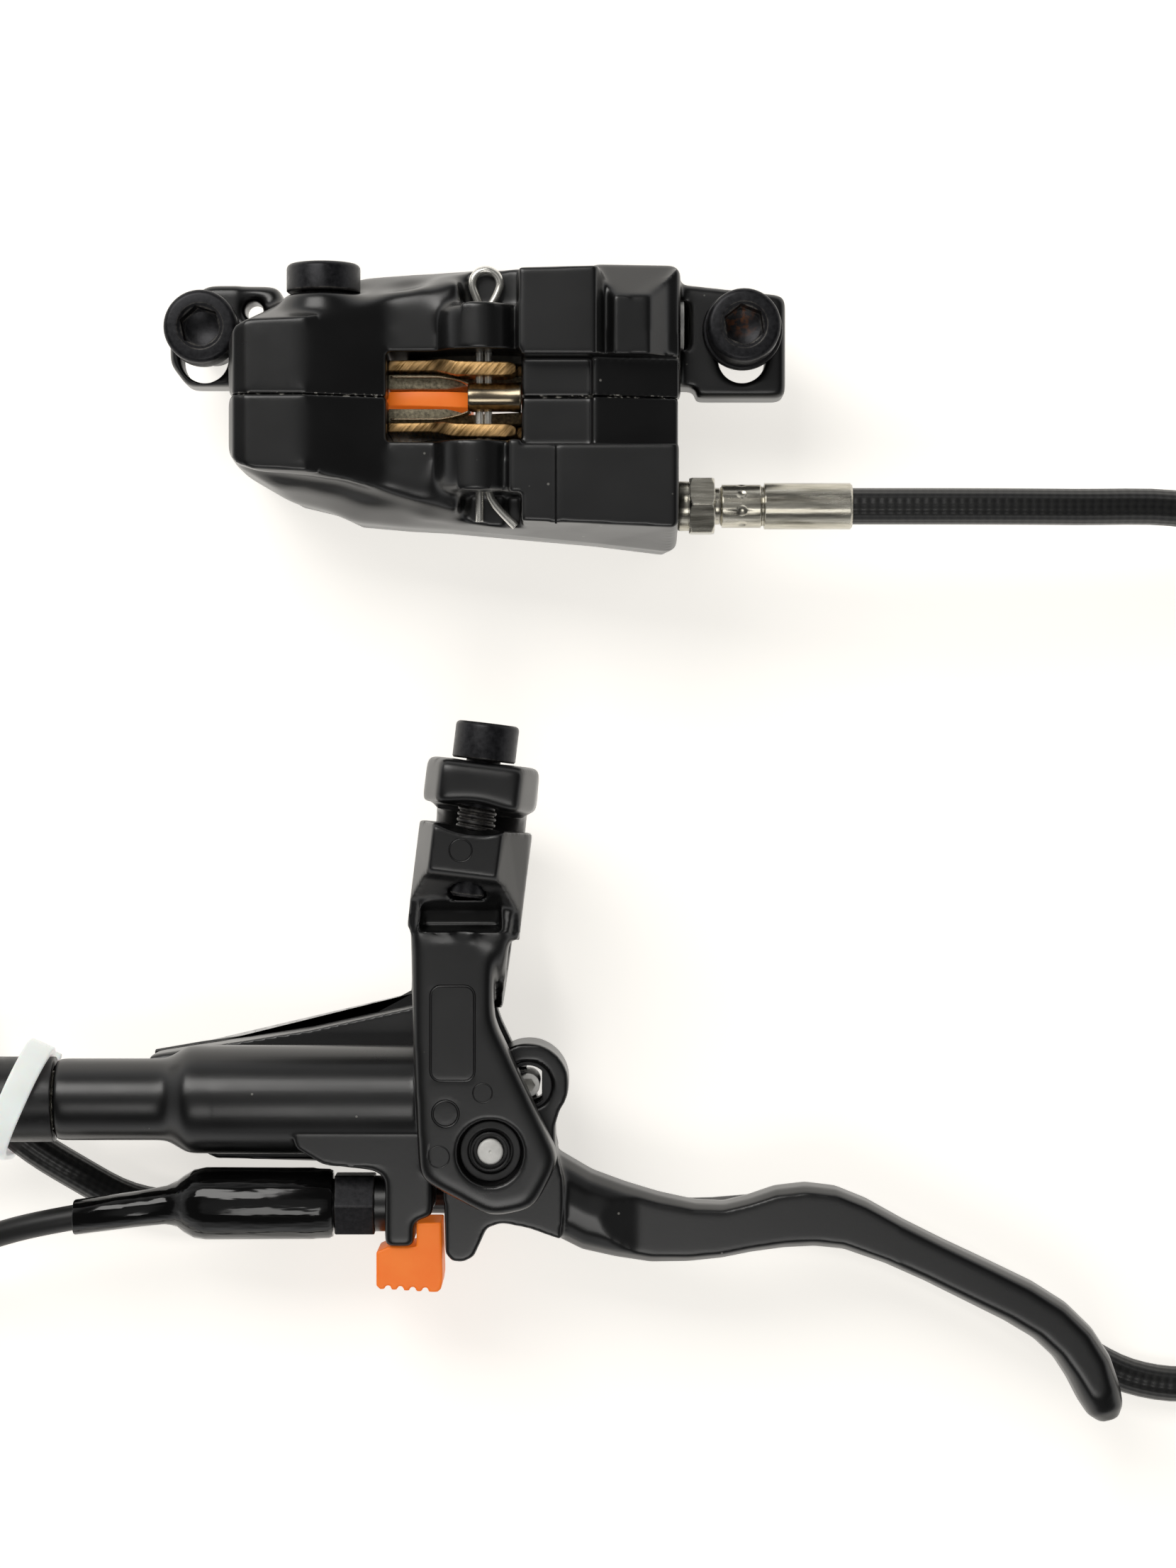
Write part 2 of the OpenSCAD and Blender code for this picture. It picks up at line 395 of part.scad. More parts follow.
dn_base = [[-33.6, 0], [-33.6, -7.8], [-31.8, -9.6], [-26.2, -12.9], [-21.2, -14.1], [-17.8, -15.7], [-11, -16.3], [-5.4, -16.6], [-1, -17], [3.6, -17.4], [15, -18.4], [24.8, -19.6], [25.7, -18.9], [25.7, 0]];
module profile(p) { translate([0, 25, 0]) rotate([90, 0, 0]) linear_extrude(height = 50) polygon(p); }
module half_cuts(s) {
    box([-36, -slot_y, -1], [29, slot_y, 23.4]);
    box([-13, -6.1, -1], [13.4, 6.1, 24]);
    box([-13, -6.1, 23], [5.2, 6.1, 40]);
    box([5, -6.1, 23.6], [13.4, 6.1, 27.4]);
    scale([1, s, 1]) {
        y_rod(5, 14.4, piston_r + 0.04, 0, piston_z);
        y_rod(8.6, 10.8, piston_r + 1.2, 0, piston_z);
        y_rod(5, 20, 1.24, 0.1, pin_z);
        y_rod(-1, 8, 0.9, -29.3, 27.8);
        y_rod(-1, 0.5, 2.4, -29.3, 27.8);
    }
}
module caliper_half_upper() color("#1a1a1b") caliper_frame() difference() {
    union() {
        intersection() {
            loft([[0, up_base], [20, up_lo], [cal_h, up_hi]]);
            profile([[-37, -2], [30, -2], [30, 28.6], [25, 30.4], [22.4, 33.1], [17.8, 33.3], [16.5, 31.8], [15.2, 33.9], [4.9, 33.95], [4.4, 29.9], [-13, 29.8], [-15.6, 31.6], [-18.6, 33.2], [-22, 33.9], [-31.6, 33.95], [-33.4, 33.2], [-35.4, 28]]);
        }
        y_rod(5.9, 12.4, 5.9, -0.5, pin_z);
        y_rod(6, 14.3, 5.6, -21.7, 26.6);
        slab2(soft([[23, 0.8], [41.4, 0.8], [41.4, 15], [23, 17]], 1, 2), 12, ear_top, 0.6);
        slab2(soft([[-28, 2.4], [-28, 16.4], [-38, 16.4], [-42.2, 14], [-43.4, 10.4], [-43.4, 5.6], [-41, 2.4]], 0.7, 2), 12, ear_top, 0.6);
    }
    half_cuts(1);
    box([-40, -9, -1], [40, 0, 50]);
    box([5.2, -1, 29.6], [29, 5.3, 40]);
    box([-8, 12.4, 26.2], [4.9, 20, 40]);
    for (x = [-21.7, 20.3]) y_rod(-5, 20, 3.06, x, 26.6);
    for (x = [-21.7, 20.3]) y_rod(14.3, 22, 5.4, x, 26.6);
    for (x = [post_left, post_right]) translate([x, 0, 8]) linear_extrude(height = 16) hull() { translate([0, 6.2]) circle(r = 3.3); translate([0, post_y]) circle(r = 3.3); }
    translate([-31.8, 12.9, 8]) cylinder(h = 16, r = 1.5);
    translate([post_left, post_y, ear_top]) cylinder(h = 6.3, r = 5.3);
    x_rod(22.6, 28, 3.72, 10.8, 18);
    x_rod(12, 23, 1.2, 10.8, 18);
}
module caliper_half_lower() color("#1a1a1b") caliper_frame() difference() {
    union() {
        intersection() {
            loft([[0, dn_base], [20, dn_lo], [cal_h, dn_hi]]);
            profile([[-37, -2], [30, -2], [30, 30], [25.9, 33.9], [10.3, 33.95], [9.9, 33], [9.4, 33.9], [3.6, 33.95], [3.2, 29.9], [-13, 29.8], [-15.6, 31.6], [-18.6, 33.2], [-22, 33.9], [-31.6, 33.95], [-33.4, 33.2], [-35.4, 28]]);
        }
        y_rod(-12.9, -6.1, 5.9, -1, pin_z);
    }
    half_cuts(-1);
    box([-40, 0, -1], [40, 9, 50]);
    box([5.2, -6.7, 29.6], [29, 1, 40]);
    box([-8, -22, 26.2], [3.2, -12.9, 40]);
    box([1, -22, 26.9], [5.3, -13.2, 40]);
    for (x = [-21.7, 20.3]) y_rod(-10, 5, 3.06, x, 26.6);
    x_rod(19, 28, 3.02, fit_y, fit_z);
    x_rod(8, 20, 1.2, fit_y, fit_z);
}
module body_bolts() color("#242427") caliper_frame() for (x = [-21.7, 20.3]) difference() {
    union() {
        y_rod(-9.5, 14.4, 3, x, 26.6);
        y_rod(14.35, 18.2, 5, x, 26.6);
    }
    translate([x, 20, 26.6]) rotate([90, 0, 0]) cylinder(h = 4.2, r = 2.89, $fn = 6);
}
module port_o_ring() color("#0f0f0f") caliper_frame() translate([-29.3, 0, 27.8]) rotate([90, 0, 0]) rotate_extrude() translate([1.9, 0]) circle(r = 0.46, $fn = 16);
module caliper_bleed_screw() color("#bdbdba") caliper_frame() difference() {
    union() {
        x_rod(23, 27.4, 3.7, 10.8, 18);
        x_rod(14, 23.2, 1.15, 10.8, 18);
    }
    translate([25.4, 10.8, 18]) rotate([0, 90, 0]) cylinder(h = 4, r = 2, $fn = 6);
}
module cal_piston() { difference() {
    y_rod(5.15, 13.8, piston_r, 0, piston_z);
    y_rod(4, 11.6, piston_r - 1.8, 0, piston_z);
} }
module piston_upper() color("#8f8f8c") caliper_frame() cal_piston();
module piston_lower() color("#8f8f8c") caliper_frame() mirror([0, 1, 0]) cal_piston();
module cal_seal() { difference() {
    y_rod(8.7, 10.7, piston_r + 1.15, 0, piston_z);
    y_rod(8, 12, piston_r + 0.03, 0, piston_z);
} }
module piston_seal_upper() color("#0f0f0f") caliper_frame() cal_seal();
module piston_seal_lower() color("#0f0f0f") caliper_frame() mirror([0, 1, 0]) cal_seal();
module pad_plate() { difference() {
    translate([0, 5.1, 0]) rotate([90, 0, 0]) linear_extrude(height = 1.8) polygon(soft([[-12.6, 1.2], [12.6, 1.2], [12.6, 22], [9, 26], [5, 26], [4.4, 31], [-5, 31], [-6.4, 26], [-12.6, 26]], 0.8, 2));
    y_rod(3, 6, 1.3, 0.1, pin_z);
} }
module pad_plate_upper() color("#b98a3e") caliper_frame() pad_plate();
module pad_plate_lower() color("#b98a3e") caliper_frame() mirror([0, 1, 0]) pad_plate();
module pad_lining() { translate([0, 3.3, 0]) rotate([90, 0, 0]) linear_extrude(height = lining_t) polygon(soft([[-12.2, 4], [-9, 1.6], [9, 1.6], [12.2, 4], [12.2, 21], [9, 24.6], [-12.2, 24.6]], 1, 2)); }
module pad_lining_upper() color("#6b675d") caliper_frame() pad_lining();
module pad_lining_lower() color("#6b675d") caliper_frame() mirror([0, 1, 0]) pad_lining();
module pad_spring() color("#9f988a") caliper_frame() {
    difference() {
        x_rod(-1.8, 5.1, 1.9, 0, 28.3);
        x_rod(-3, 7, 1.5, 0, 28.3);
        box([-3, -3, 25], [7, 3, 28.7]);
    }
    for (s = [1, -1]) scale([1, s, 1]) translate([0, 0, 25]) linear_extrude(height = 3.9) polygon([[-1.2, 1.5], [-1.2, 1.9], [-1.9, 2.1], [-3.2, 2.7], [-4.6, 2.95], [-12.4, 2.85], [-12.4, 2.45], [-4.5, 2.55], [-3.4, 2.35], [-2.1, 1.7]]);
}
eye_ring = [[-0.5, 12.4, 0], [-1, 13.7, 0], [-1.5, 15, 0], [-1.3, 16.4, 0], [-0.4, 17.2, 0], [0.9, 17.3, 0], [2, 16.7, 0], [2.4, 15.4, 0], [1.9, 14.1, 0], [1.1, 13, 0], [0.7, 12.2, 0]];
module pad_pin() color("#b4b4b0") caliper_frame() translate([0, 0, pin_z]) {
    tube(concat([[-0.5, -16.8, 0], [-0.5, -8, 0], [-0.5, 2, 0], [-0.5, 10, 0]], eye_ring, [[0.7, 10, 0], [0.7, 0, 0], [0.7, -11, 0], [0.8, -13, 0], [1.7, -14.4, 0], [4.4, -17.4, 0]]), 0.55, 8);
}
module pad_spacer() color("#ee6f1f") caliper_frame() {
    box([-18, -0.9, 4], [-12, 0.9, 23.2]);
    box([-12.9, -0.95, 4], [-1.9, 0.95, 25.4]);
}

module socket_bolt(x, z, l) { translate([x, post_y, 0]) difference() {
    union() {
        translate([0, 0, z - l]) cylinder(h = 12 - z + l, r = 3);
        translate([0, 0, 11.9]) cylinder(h = z - 11, r = 2.8);
        translate([0, 0, z]) cylinder(h = 6, r = 5);
    }
    translate([0, 0, z + 2.8]) cylinder(h = 5, r = 2.89, $fn = 6);
} }
module mount_bolt_left() color("#242427") caliper_frame() socket_bolt(post_left, ear_top, 18);
module mount_bolt_right() color("#242427") caliper_frame() socket_bolt(post_right, ear_top + 1.6, 18);
module mount_washer() color("#2c2c2e") caliper_frame() translate([post_right, post_y, ear_top]) difference() {
    cylinder(h = 1.6, r = 5.5);
    translate([0, 0, -1]) cylinder(h = 4, r = 3.05);
}
module hose_connector() color("#a9a9a4") caliper_frame() difference() {
    union() {
        x_rod(20, 26.5, 3, fit_y, fit_z);
        x_rod(26.45, 28, 3.4, fit_y, fit_z);
        translate([28, fit_y, fit_z]) rotate([0, 90, 0]) cylinder(h = 3.4, r = 4.3, $fn = 6);
        x_rod(31.4, 32.2, 2.6, fit_y, fit_z);
    }
    x_rod(19, 33, 1, fit_y, fit_z);
}
module hose_ferrule() color("#b0b0ab") caliper_frame() difference() {
    union() {
        x_rod(32.2, 38, 2.95, fit_y, fit_z);
        x_rod(38, 50.2, 3.15, fit_y, fit_z);
    }
    x_rod(31, 39.4, 1, fit_y, fit_z);
    x_rod(39.2, 52, hose_r + 0.05, fit_y, fit_z);
}

lever_housing();
clamp_bolt();
lever_blade();
pivot_pin();
pivot_bush_upper();
pivot_bush_lower();
eye_bush();
pushrod_pin();
pushrod();
master_piston();
primary_cup();
secondary_cup();
return_spring();
piston_retainer();
reservoir_diaphragm();
reservoir_cover();
cover_screws();
lever_bleed_screw();
hose_cover();
compression_nut();
olive();
hose_insert();
hose_tie();
switch_sensor();
sensor_collar();
switch_boot();
switch_cable();
cable_connector();
lever_block();
heel_magnet();
caliper_half_upper();
caliper_half_lower();
body_bolts();
port_o_ring();
caliper_bleed_screw();
piston_upper();
piston_lower();
piston_seal_upper();
piston_seal_lower();
pad_plate_upper();
pad_plate_lower();
pad_lining_upper();
pad_lining_lower();
pad_spring();
pad_pin();
pad_spacer();
mount_bolt_left();
mount_bolt_right();
mount_washer();
hose_connector();
hose_ferrule();
brake_hose();
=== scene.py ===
import bmesh
import bpy
import json
import math

from mathutils import Matrix, Vector

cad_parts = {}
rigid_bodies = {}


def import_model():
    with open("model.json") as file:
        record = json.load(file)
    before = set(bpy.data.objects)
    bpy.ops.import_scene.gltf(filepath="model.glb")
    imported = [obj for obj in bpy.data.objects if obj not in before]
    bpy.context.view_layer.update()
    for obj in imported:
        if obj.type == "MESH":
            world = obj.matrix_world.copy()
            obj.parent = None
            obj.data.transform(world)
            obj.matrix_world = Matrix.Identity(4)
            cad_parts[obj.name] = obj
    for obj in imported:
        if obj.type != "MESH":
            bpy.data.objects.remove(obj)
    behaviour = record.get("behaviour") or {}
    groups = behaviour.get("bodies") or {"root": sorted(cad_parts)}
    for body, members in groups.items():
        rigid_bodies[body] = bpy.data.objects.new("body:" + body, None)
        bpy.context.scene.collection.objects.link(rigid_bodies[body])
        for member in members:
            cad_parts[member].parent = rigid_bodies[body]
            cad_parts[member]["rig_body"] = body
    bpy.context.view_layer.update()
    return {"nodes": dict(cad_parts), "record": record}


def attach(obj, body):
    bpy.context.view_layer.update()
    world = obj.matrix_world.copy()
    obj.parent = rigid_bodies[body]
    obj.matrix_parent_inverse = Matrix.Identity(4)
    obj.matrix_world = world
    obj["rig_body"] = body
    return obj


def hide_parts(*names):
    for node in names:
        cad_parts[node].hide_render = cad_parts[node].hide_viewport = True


# Camera and light: a phone held over a white table by daylight. The table and
# the walls are bright, the ceiling is dimmer, so flat black faces look dark
# and everything that leans outwards mirrors the pale room.
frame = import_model()
bpy.ops.object.select_all(action="DESELECT")
scene = bpy.context.scene
scene.view_settings.view_transform = "Standard"

camera_data = bpy.data.cameras.new("camera")
camera = bpy.data.objects.new("camera", camera_data)
scene.collection.objects.link(camera)
AXIS_HEIGHT = 0.017
DISTANCE = 0.52
FIELD_HEIGHT = 0.2169
camera.location = (0.0077, 0.0087, AXIS_HEIGHT + DISTANCE)
camera_data.sensor_fit = "VERTICAL"
camera_data.sensor_height = 36
camera_data.lens = camera_data.sensor_height * DISTANCE / FIELD_HEIGHT
camera_data.clip_start = 0.01
scene.camera = camera


def colour(text):
    """sRGB hex text as the linear numbers that a socket takes."""
    parts = [int(text[i:i + 2], 16) / 255 for i in (1, 3, 5)]
    return [c / 12.92 if c < 0.04045 else ((c + 0.055) / 1.055) ** 2.4 for c in parts] + [1]


def add(tree, kind, links=None, **settings):
    """One node with its settings; links maps an input socket to a value or to (node, output)."""
    node = tree.nodes.new("ShaderNode" + kind)
    for key, value in settings.items():
        setattr(node, key, value)
    for key, value in (links or {}).items():
        if isinstance(value, tuple) and hasattr(value[0], "outputs"):
            tree.links.new(value[0].outputs[value[1]], node.inputs[key])
        else:
            node.inputs[key].default_value = value
    return node


world = bpy.data.worlds.new("room")
world.use_nodes = True
scene.world = world
tree = world.node_tree
tree.nodes.clear()
direction = add(tree, "TexCoord")
height = add(tree, "SeparateXYZ", {"Vector": (direction, "Generated")})
ceiling = add(tree, "ValToRGB", {"Fac": (height, "Z")})
ceiling.color_ramp.interpolation = "EASE"
for at, grey in ((0.08, 0.95), (0.34, 0.45), (0.56, 0.07), (0.86, 0.06), (0.985, 0.27)):
    stop = ceiling.color_ramp.elements.new(at)
    stop.color = (grey, grey, grey * 0.99, 1)
stops = ceiling.color_ramp.elements
stops[0].color = stops[1].color
stops[-1].color = stops[-2].color
path = add(tree, "LightPath")
level = add(tree, "Math", {0: (path, "Is Camera Ray"), 1: (ceiling, 0)}, operation="MAXIMUM")
light = add(tree, "Background", {"Color": colour("#ffffff"), "Strength": (level, 0)})
add(tree, "OutputWorld", {"Surface": (light, 0)})

for name, place, size, power, turn in (
        ("window", (-0.28, 0.42, 0.62), (0.5, 0.34), 2.6, (-35, -22, 0)),
        ("lamp", (-0.02, -0.26, 0.62), (0.24, 0.2), 0.5, (22, 0, 0))):
    data = bpy.data.lights.new(name, "AREA")
    data.shape = "RECTANGLE"
    data.size, data.size_y = size
    data.energy = power
    data.color = (1, 0.985, 0.96)
    lamp = bpy.data.objects.new(name, data)
    lamp.location = place
    lamp.rotation_euler = [math.radians(a) for a in turn]
    scene.collection.objects.link(lamp)

# Table: matt white paper, bright enough to burn out, with faint warm shadows.
bpy.ops.mesh.primitive_grid_add(x_subdivisions=2, y_subdivisions=2, size=3, location=(0, 0, 0))
table = bpy.context.object
table.name = "table"
paper = bpy.data.materials.new("white paper")
paper.use_nodes = True
tree = paper.node_tree
tree.nodes.clear()
path = add(tree, "LightPath")
GLOW_IN_MIRRORS = 0.68
GLOW_TO_CAMERA = 0.66
mirrored = add(tree, "Math", {0: (path, "Is Glossy Ray"), 1: GLOW_IN_MIRRORS}, operation="MULTIPLY")
direct = add(tree, "Math", {0: (path, "Is Camera Ray"), 1: GLOW_TO_CAMERA}, operation="MULTIPLY")
seen = add(tree, "Math", {0: (mirrored, 0), 1: (direct, 0)}, operation="ADD")
matt = add(tree, "BsdfDiffuse", {"Color": colour("#f4f1ec")})
glow = add(tree, "Emission", {"Color": colour("#fffcf6"), "Strength": (seen, 0)})
both = add(tree, "AddShader", {0: (matt, 0), 1: (glow, 0)})
add(tree, "OutputMaterial", {"Surface": (both, 0)})
table.data.materials.append(paper)

# Brake hose: a 5 mm nylon tube with a woven cover that shows through its black
# skin. It leaves the master cylinder, lies in two turns beside the lever,
# comes back through the tie and runs round to the caliper.
HOSE = [[-52.3, 6.1, 17], [-64, 6.1, 17], [-76, 6.1, 17], [-88, 6.8, 15], [-99, 9, 11.6], [-110, 12, 8],
    [-119, 18, 5], [-124.6, 27, 3.2], [-124.6, 38, 2.5], [-118, 47.6, 2.5], [-107, 52, 2.5], [-96, 49.6, 2.5],
    [-87.4, 42, 2.5], [-84, 31, 2.5], [-84.6, 20, 2.5], [-90, 10.4, 2.5], [-99, 4.6, 2.5], [-110, 3.6, 2.5],
    [-121, 8, 2.5], [-129, 17, 2.5], [-132.4, 29, 2.5], [-130, 41, 2.5], [-123, 51, 2.5], [-112, 57.4, 2.5],
    [-100, 58.6, 2.5], [-89, 54, 2.5], [-81, 45, 2.5], [-77.4, 33.6, 2.6], [-77, 22, 4], [-75.4, 12.6, 6.4],
    [-71.8, 5.4, 8], [-66, -0.2, 8.4], [-59, -5, 6.8], [-51.6, -9.2, 4.2], [-43, -10.6, 2.7], [-32, -9.6, 2.5],
    [-20, -8.8, 2.5], [-8, -8.8, 2.5], [4, -9.4, 2.5], [16, -10.4, 2.5], [28, -11.6, 2.5], [40, -11, 2.5],
    [51, -12.6, 2.5], [60.6, -16.8, 2.5], [69.6, -21.4, 2.5], [76.8, -26, 2.5], [83, -30.8, 2.5],
    [90, -34.4, 2.5], [98, -35.6, 2.5], [106, -34, 2.5], [113, -29.4, 2.5], [118, -22, 2.5], [120.4, -12, 2.5],
    [121, 4, 2.5], [121.4, 20, 2.6], [122, 36, 3.8], [122, 50, 6], [121.6, 61, 8.6], [118.4, 71.4, 11.8],
    [112, 80, 15], [103.4, 85.6, 18], [93.4, 87.6, 20.6], [80, 87.6, 22.8], [66, 87.6, 23.8], [49.2, 87.6, 24],
    [38.6, 87.6, 24]]
LEVER = Vector((-5.5, -41, 0))


def smooth_route(points, steps):
    """Catmull-Rom points in metres, from millimetres measured from the lever pivot."""
    p = [Vector(q) + LEVER for q in points]
    route = []
    for i in range(len(p) - 1):
        a, b, c, d = p[max(i - 1, 0)], p[i], p[i + 1], p[min(i + 2, len(p) - 1)]
        for k in range(steps):
            t = k / steps
            bend = (2 * a - 5 * b + 4 * c - d) * t * t + (3 * b - a - 3 * c + d) * t ** 3
            route.append(0.5 * (2 * b + (c - a) * t + bend) / 1000)
    return route + [p[-1] / 1000]


def laid_tube(name, route, radius, sides):
    """A round tube along the route, with metres along it in U and turns round it in V."""
    mesh = bpy.data.meshes.new(name)
    obj = bpy.data.objects.new(name, mesh)
    scene.collection.objects.link(obj)
    bm = bmesh.new()
    uv = bm.loops.layers.uv.new("UVMap")
    rings, along, side = [], [0.0], Vector((0, 0, 1))
    for i, q in enumerate(route):
        t = (route[min(i + 1, len(route) - 1)] - route[max(i - 1, 0)]).normalized()
        side = (side - t * side.dot(t)).normalized()
        other = t.cross(side)
        rings.append([bm.verts.new(q + radius * (math.cos(a) * side + math.sin(a) * other))
            for a in [2 * math.pi * k / sides for k in range(sides)]])
        if i:
            along.append(along[-1] + (q - route[i - 1]).length)
    for i in range(len(rings) - 1):
        for k in range(sides):
            beyond = (k + 1) % sides
            face = bm.faces.new((rings[i][k], rings[i][beyond], rings[i + 1][beyond], rings[i + 1][k]))
            face.smooth = True
            corners = ((along[i], k), (along[i], k + 1), (along[i + 1], k + 1), (along[i + 1], k))
            for loop, (u, v) in zip(face.loops, corners):
                loop[uv].uv = (u, v / sides)
    bm.faces.new(rings[0][::-1])
    bm.faces.new(rings[-1])
    bm.to_mesh(mesh)
    bm.free()
    return obj


HOSE_DIAMETER = 0.005
hose_route = smooth_route(HOSE, 4)
hose = laid_tube("hose", hose_route, HOSE_DIAMETER / 2, 20)
woven = bpy.data.materials.new("woven hose under black nylon")
woven.use_nodes = True
tree = woven.node_tree
skin = tree.nodes["Principled BSDF"]
# Two sets of ten threads cross round the hose. Along it they lie 2.4 mm apart.
THREADS_ROUND = 10
THREADS_ALONG = 2600.0
place = add(tree, "UVMap", uv_map="UVMap")
split = add(tree, "SeparateXYZ", {"Vector": (place, 0)})
turns = add(tree, "Math", {0: (split, "Y"), 1: 2 * math.pi * THREADS_ROUND}, operation="MULTIPLY")
run = add(tree, "Math", {0: (split, "X"), 1: THREADS_ALONG}, operation="MULTIPLY")
left = add(tree, "Math", {0: (run, 0), 1: (turns, 0)}, operation="ADD")
right = add(tree, "Math", {0: (run, 0), 1: (turns, 0)}, operation="SUBTRACT")
one = add(tree, "Math", {0: (left, 0)}, operation="SINE")
two = add(tree, "Math", {0: (right, 0)}, operation="SINE")
weave = add(tree, "Math", {0: (one, 0), 1: (two, 0)}, operation="MULTIPLY")
tone = add(tree, "MapRange", {"Value": (weave, 0), "From Min": -1.0, "From Max": 1.0, "To Min": 0.0, "To Max": 1.0})
shade = add(tree, "Mix", {0: (tone, 0), 6: colour("#131314"), 7: colour("#252524")}, data_type="RGBA")
tree.links.new(shade.outputs[2], skin.inputs["Base Color"])
dent = add(tree, "Bump", {"Height": (weave, 0), "Strength": 0.25, "Distance": 0.00012})
tree.links.new(dent.outputs[0], skin.inputs["Normal"])
skin.inputs["Roughness"].default_value = 0.36
hose.data.materials.append(woven)
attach(hose, "brake")
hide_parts("brake_hose")

# Switch cable: a 3.5 mm round cable with a smooth black jacket. It leaves the
# boot of the cut-off switch, turns back below the lever and ends in its plug.
CABLE = [[-38.6, -7.7, 17], [-43, -8.3, 17], [-50, -9.2, 17], [-58.2, -10.3, 17], [-68, -12.6, 15.4],
    [-79, -17, 11.4], [-90, -24, 6.8], [-99, -33, 3.4], [-105, -44, 1.85], [-107, -57, 1.85],
    [-104, -70, 1.85], [-95, -80, 1.85], [-82, -84, 1.85], [-68, -84, 1.85], [-54, -82.6, 1.85],
    [-42, -82, 2.6], [-33, -82, 4], [-28.2, -82, 4.2]]
CABLE_DIAMETER = 0.0035
cable_route = smooth_route(CABLE, 6)
cable = laid_tube("cable", cable_route, CABLE_DIAMETER / 2, 18)
jacket = bpy.data.materials.new("black cable jacket")
jacket.use_nodes = True
tree = jacket.node_tree
skin = tree.nodes["Principled BSDF"]
place = add(tree, "TexCoord")
grain = add(tree, "TexNoise", {"Vector": (place, "Object"), "Scale": 900.0, "Detail": 3.0})
shade = add(tree, "Mix", {0: (grain, 0), 6: colour("#161616"), 7: colour("#202020")}, data_type="RGBA")
tree.links.new(shade.outputs[2], skin.inputs["Base Color"])
dent = add(tree, "Bump", {"Height": (grain, 0), "Strength": 0.15, "Distance": 0.00005})
tree.links.new(dent.outputs[0], skin.inputs["Normal"])
skin.inputs["Roughness"].default_value = 0.42
cable.data.materials.append(jacket)
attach(cable, "brake")
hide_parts("switch_cable")


# Lever housing: an aluminium casting with arm, clamp ring, cylinder and tank in
# one. It is satin black all over, and sand and paint have rounded every edge.
# Shallow marks of the die stand in the arm's face.
def block(low, high, origin):
    """A box between two corners in millimetres from origin."""
    middle = [((a + b) / 2 + o) / 1000 for a, b, o in zip(low, high, origin)]
    sides = [(b - a) / 1000 for a, b in zip(low, high)]
    bpy.ops.mesh.primitive_cube_add(size=1, location=middle, scale=sides)
    bpy.ops.object.transform_apply(location=True, rotation=True, scale=True)
    return bpy.context.object


def pick(obj):
    """Selects one piece alone and makes it the active one."""
    bpy.ops.object.select_all(action="DESELECT")
    obj.select_set(True)
    bpy.context.view_layer.objects.active = obj


def shell(name, points, faces):
    """A piece over points in millimetres. Without faces it is the convex body round them."""
    mesh = bpy.data.meshes.new(name)
    mesh.from_pydata([[c / 1000 for c in p] for p in points], [], faces)
    obj = bpy.data.objects.new(name, mesh)
    scene.collection.objects.link(obj)
    pick(obj)
    bpy.ops.object.mode_set(mode="EDIT")
    bpy.ops.mesh.select_all(action="SELECT")
    if not faces:
        bpy.ops.mesh.convex_hull()
    bpy.ops.mesh.normals_make_consistent(inside=False)
    bpy.ops.object.mode_set(mode="OBJECT")
    return obj


def wedge(points, origin):
    """The convex body over corner points in millimetres from origin."""
    return shell("wedge", [[c + o for c, o in zip(p, origin)] for p in points], [])


def rod(a, b, radius, origin, sides=48):
    """A round rod between two points in millimetres from origin."""
    a, b = Vector(a) + Vector(origin), Vector(b) + Vector(origin)
    turn = (b - a).to_track_quat("Z", "Y").to_euler()
    bpy.ops.mesh.primitive_cylinder_add(vertices=sides, radius=radius / 1000, depth=(b - a).length / 1000,
        location=(a + b) / 2000, rotation=turn)
    bpy.ops.object.transform_apply(location=True, rotation=True, scale=True)
    return bpy.context.object


def egg(middle, sizes, turn, origin):
    """A ball stretched to sizes in millimetres and turned about Z, for rounded hollows."""
    bpy.ops.mesh.primitive_uv_sphere_add(segments=32, ring_count=20, radius=0.001,
        location=[(a + b) / 1000 for a, b in zip(middle, origin)], rotation=(0, 0, math.radians(turn)), scale=sizes)
    bpy.ops.object.transform_apply(location=True, rotation=True, scale=True)
    return bpy.context.object


def ring(middle, radius, wire, origin):
    """A wire ring round Z in millimetres, the tool for a round groove."""
    bpy.ops.mesh.primitive_torus_add(location=[(a + b) / 1000 for a, b in zip(middle, origin)],
        major_radius=radius / 1000, minor_radius=wire / 1000, major_segments=48, minor_segments=10)
    bpy.ops.object.transform_apply(location=True, rotation=True, scale=True)
    return bpy.context.object


def finish_with(obj, kind, **settings):
    """Adds one modifier and applies it."""
    pick(obj)
    modifier = obj.modifiers.new(kind, kind)
    for key, value in settings.items():
        setattr(modifier, key, value)
    bpy.ops.object.modifier_apply(modifier=modifier.name)


def carve(obj, added, cut):
    """Joins bodies to a piece, then takes others out of it."""
    for tool, operation in [(t, "UNION") for t in added] + [(t, "DIFFERENCE") for t in cut]:
        finish_with(obj, "BOOLEAN", object=tool, operation=operation, solver="EXACT")
        bpy.data.objects.remove(tool)


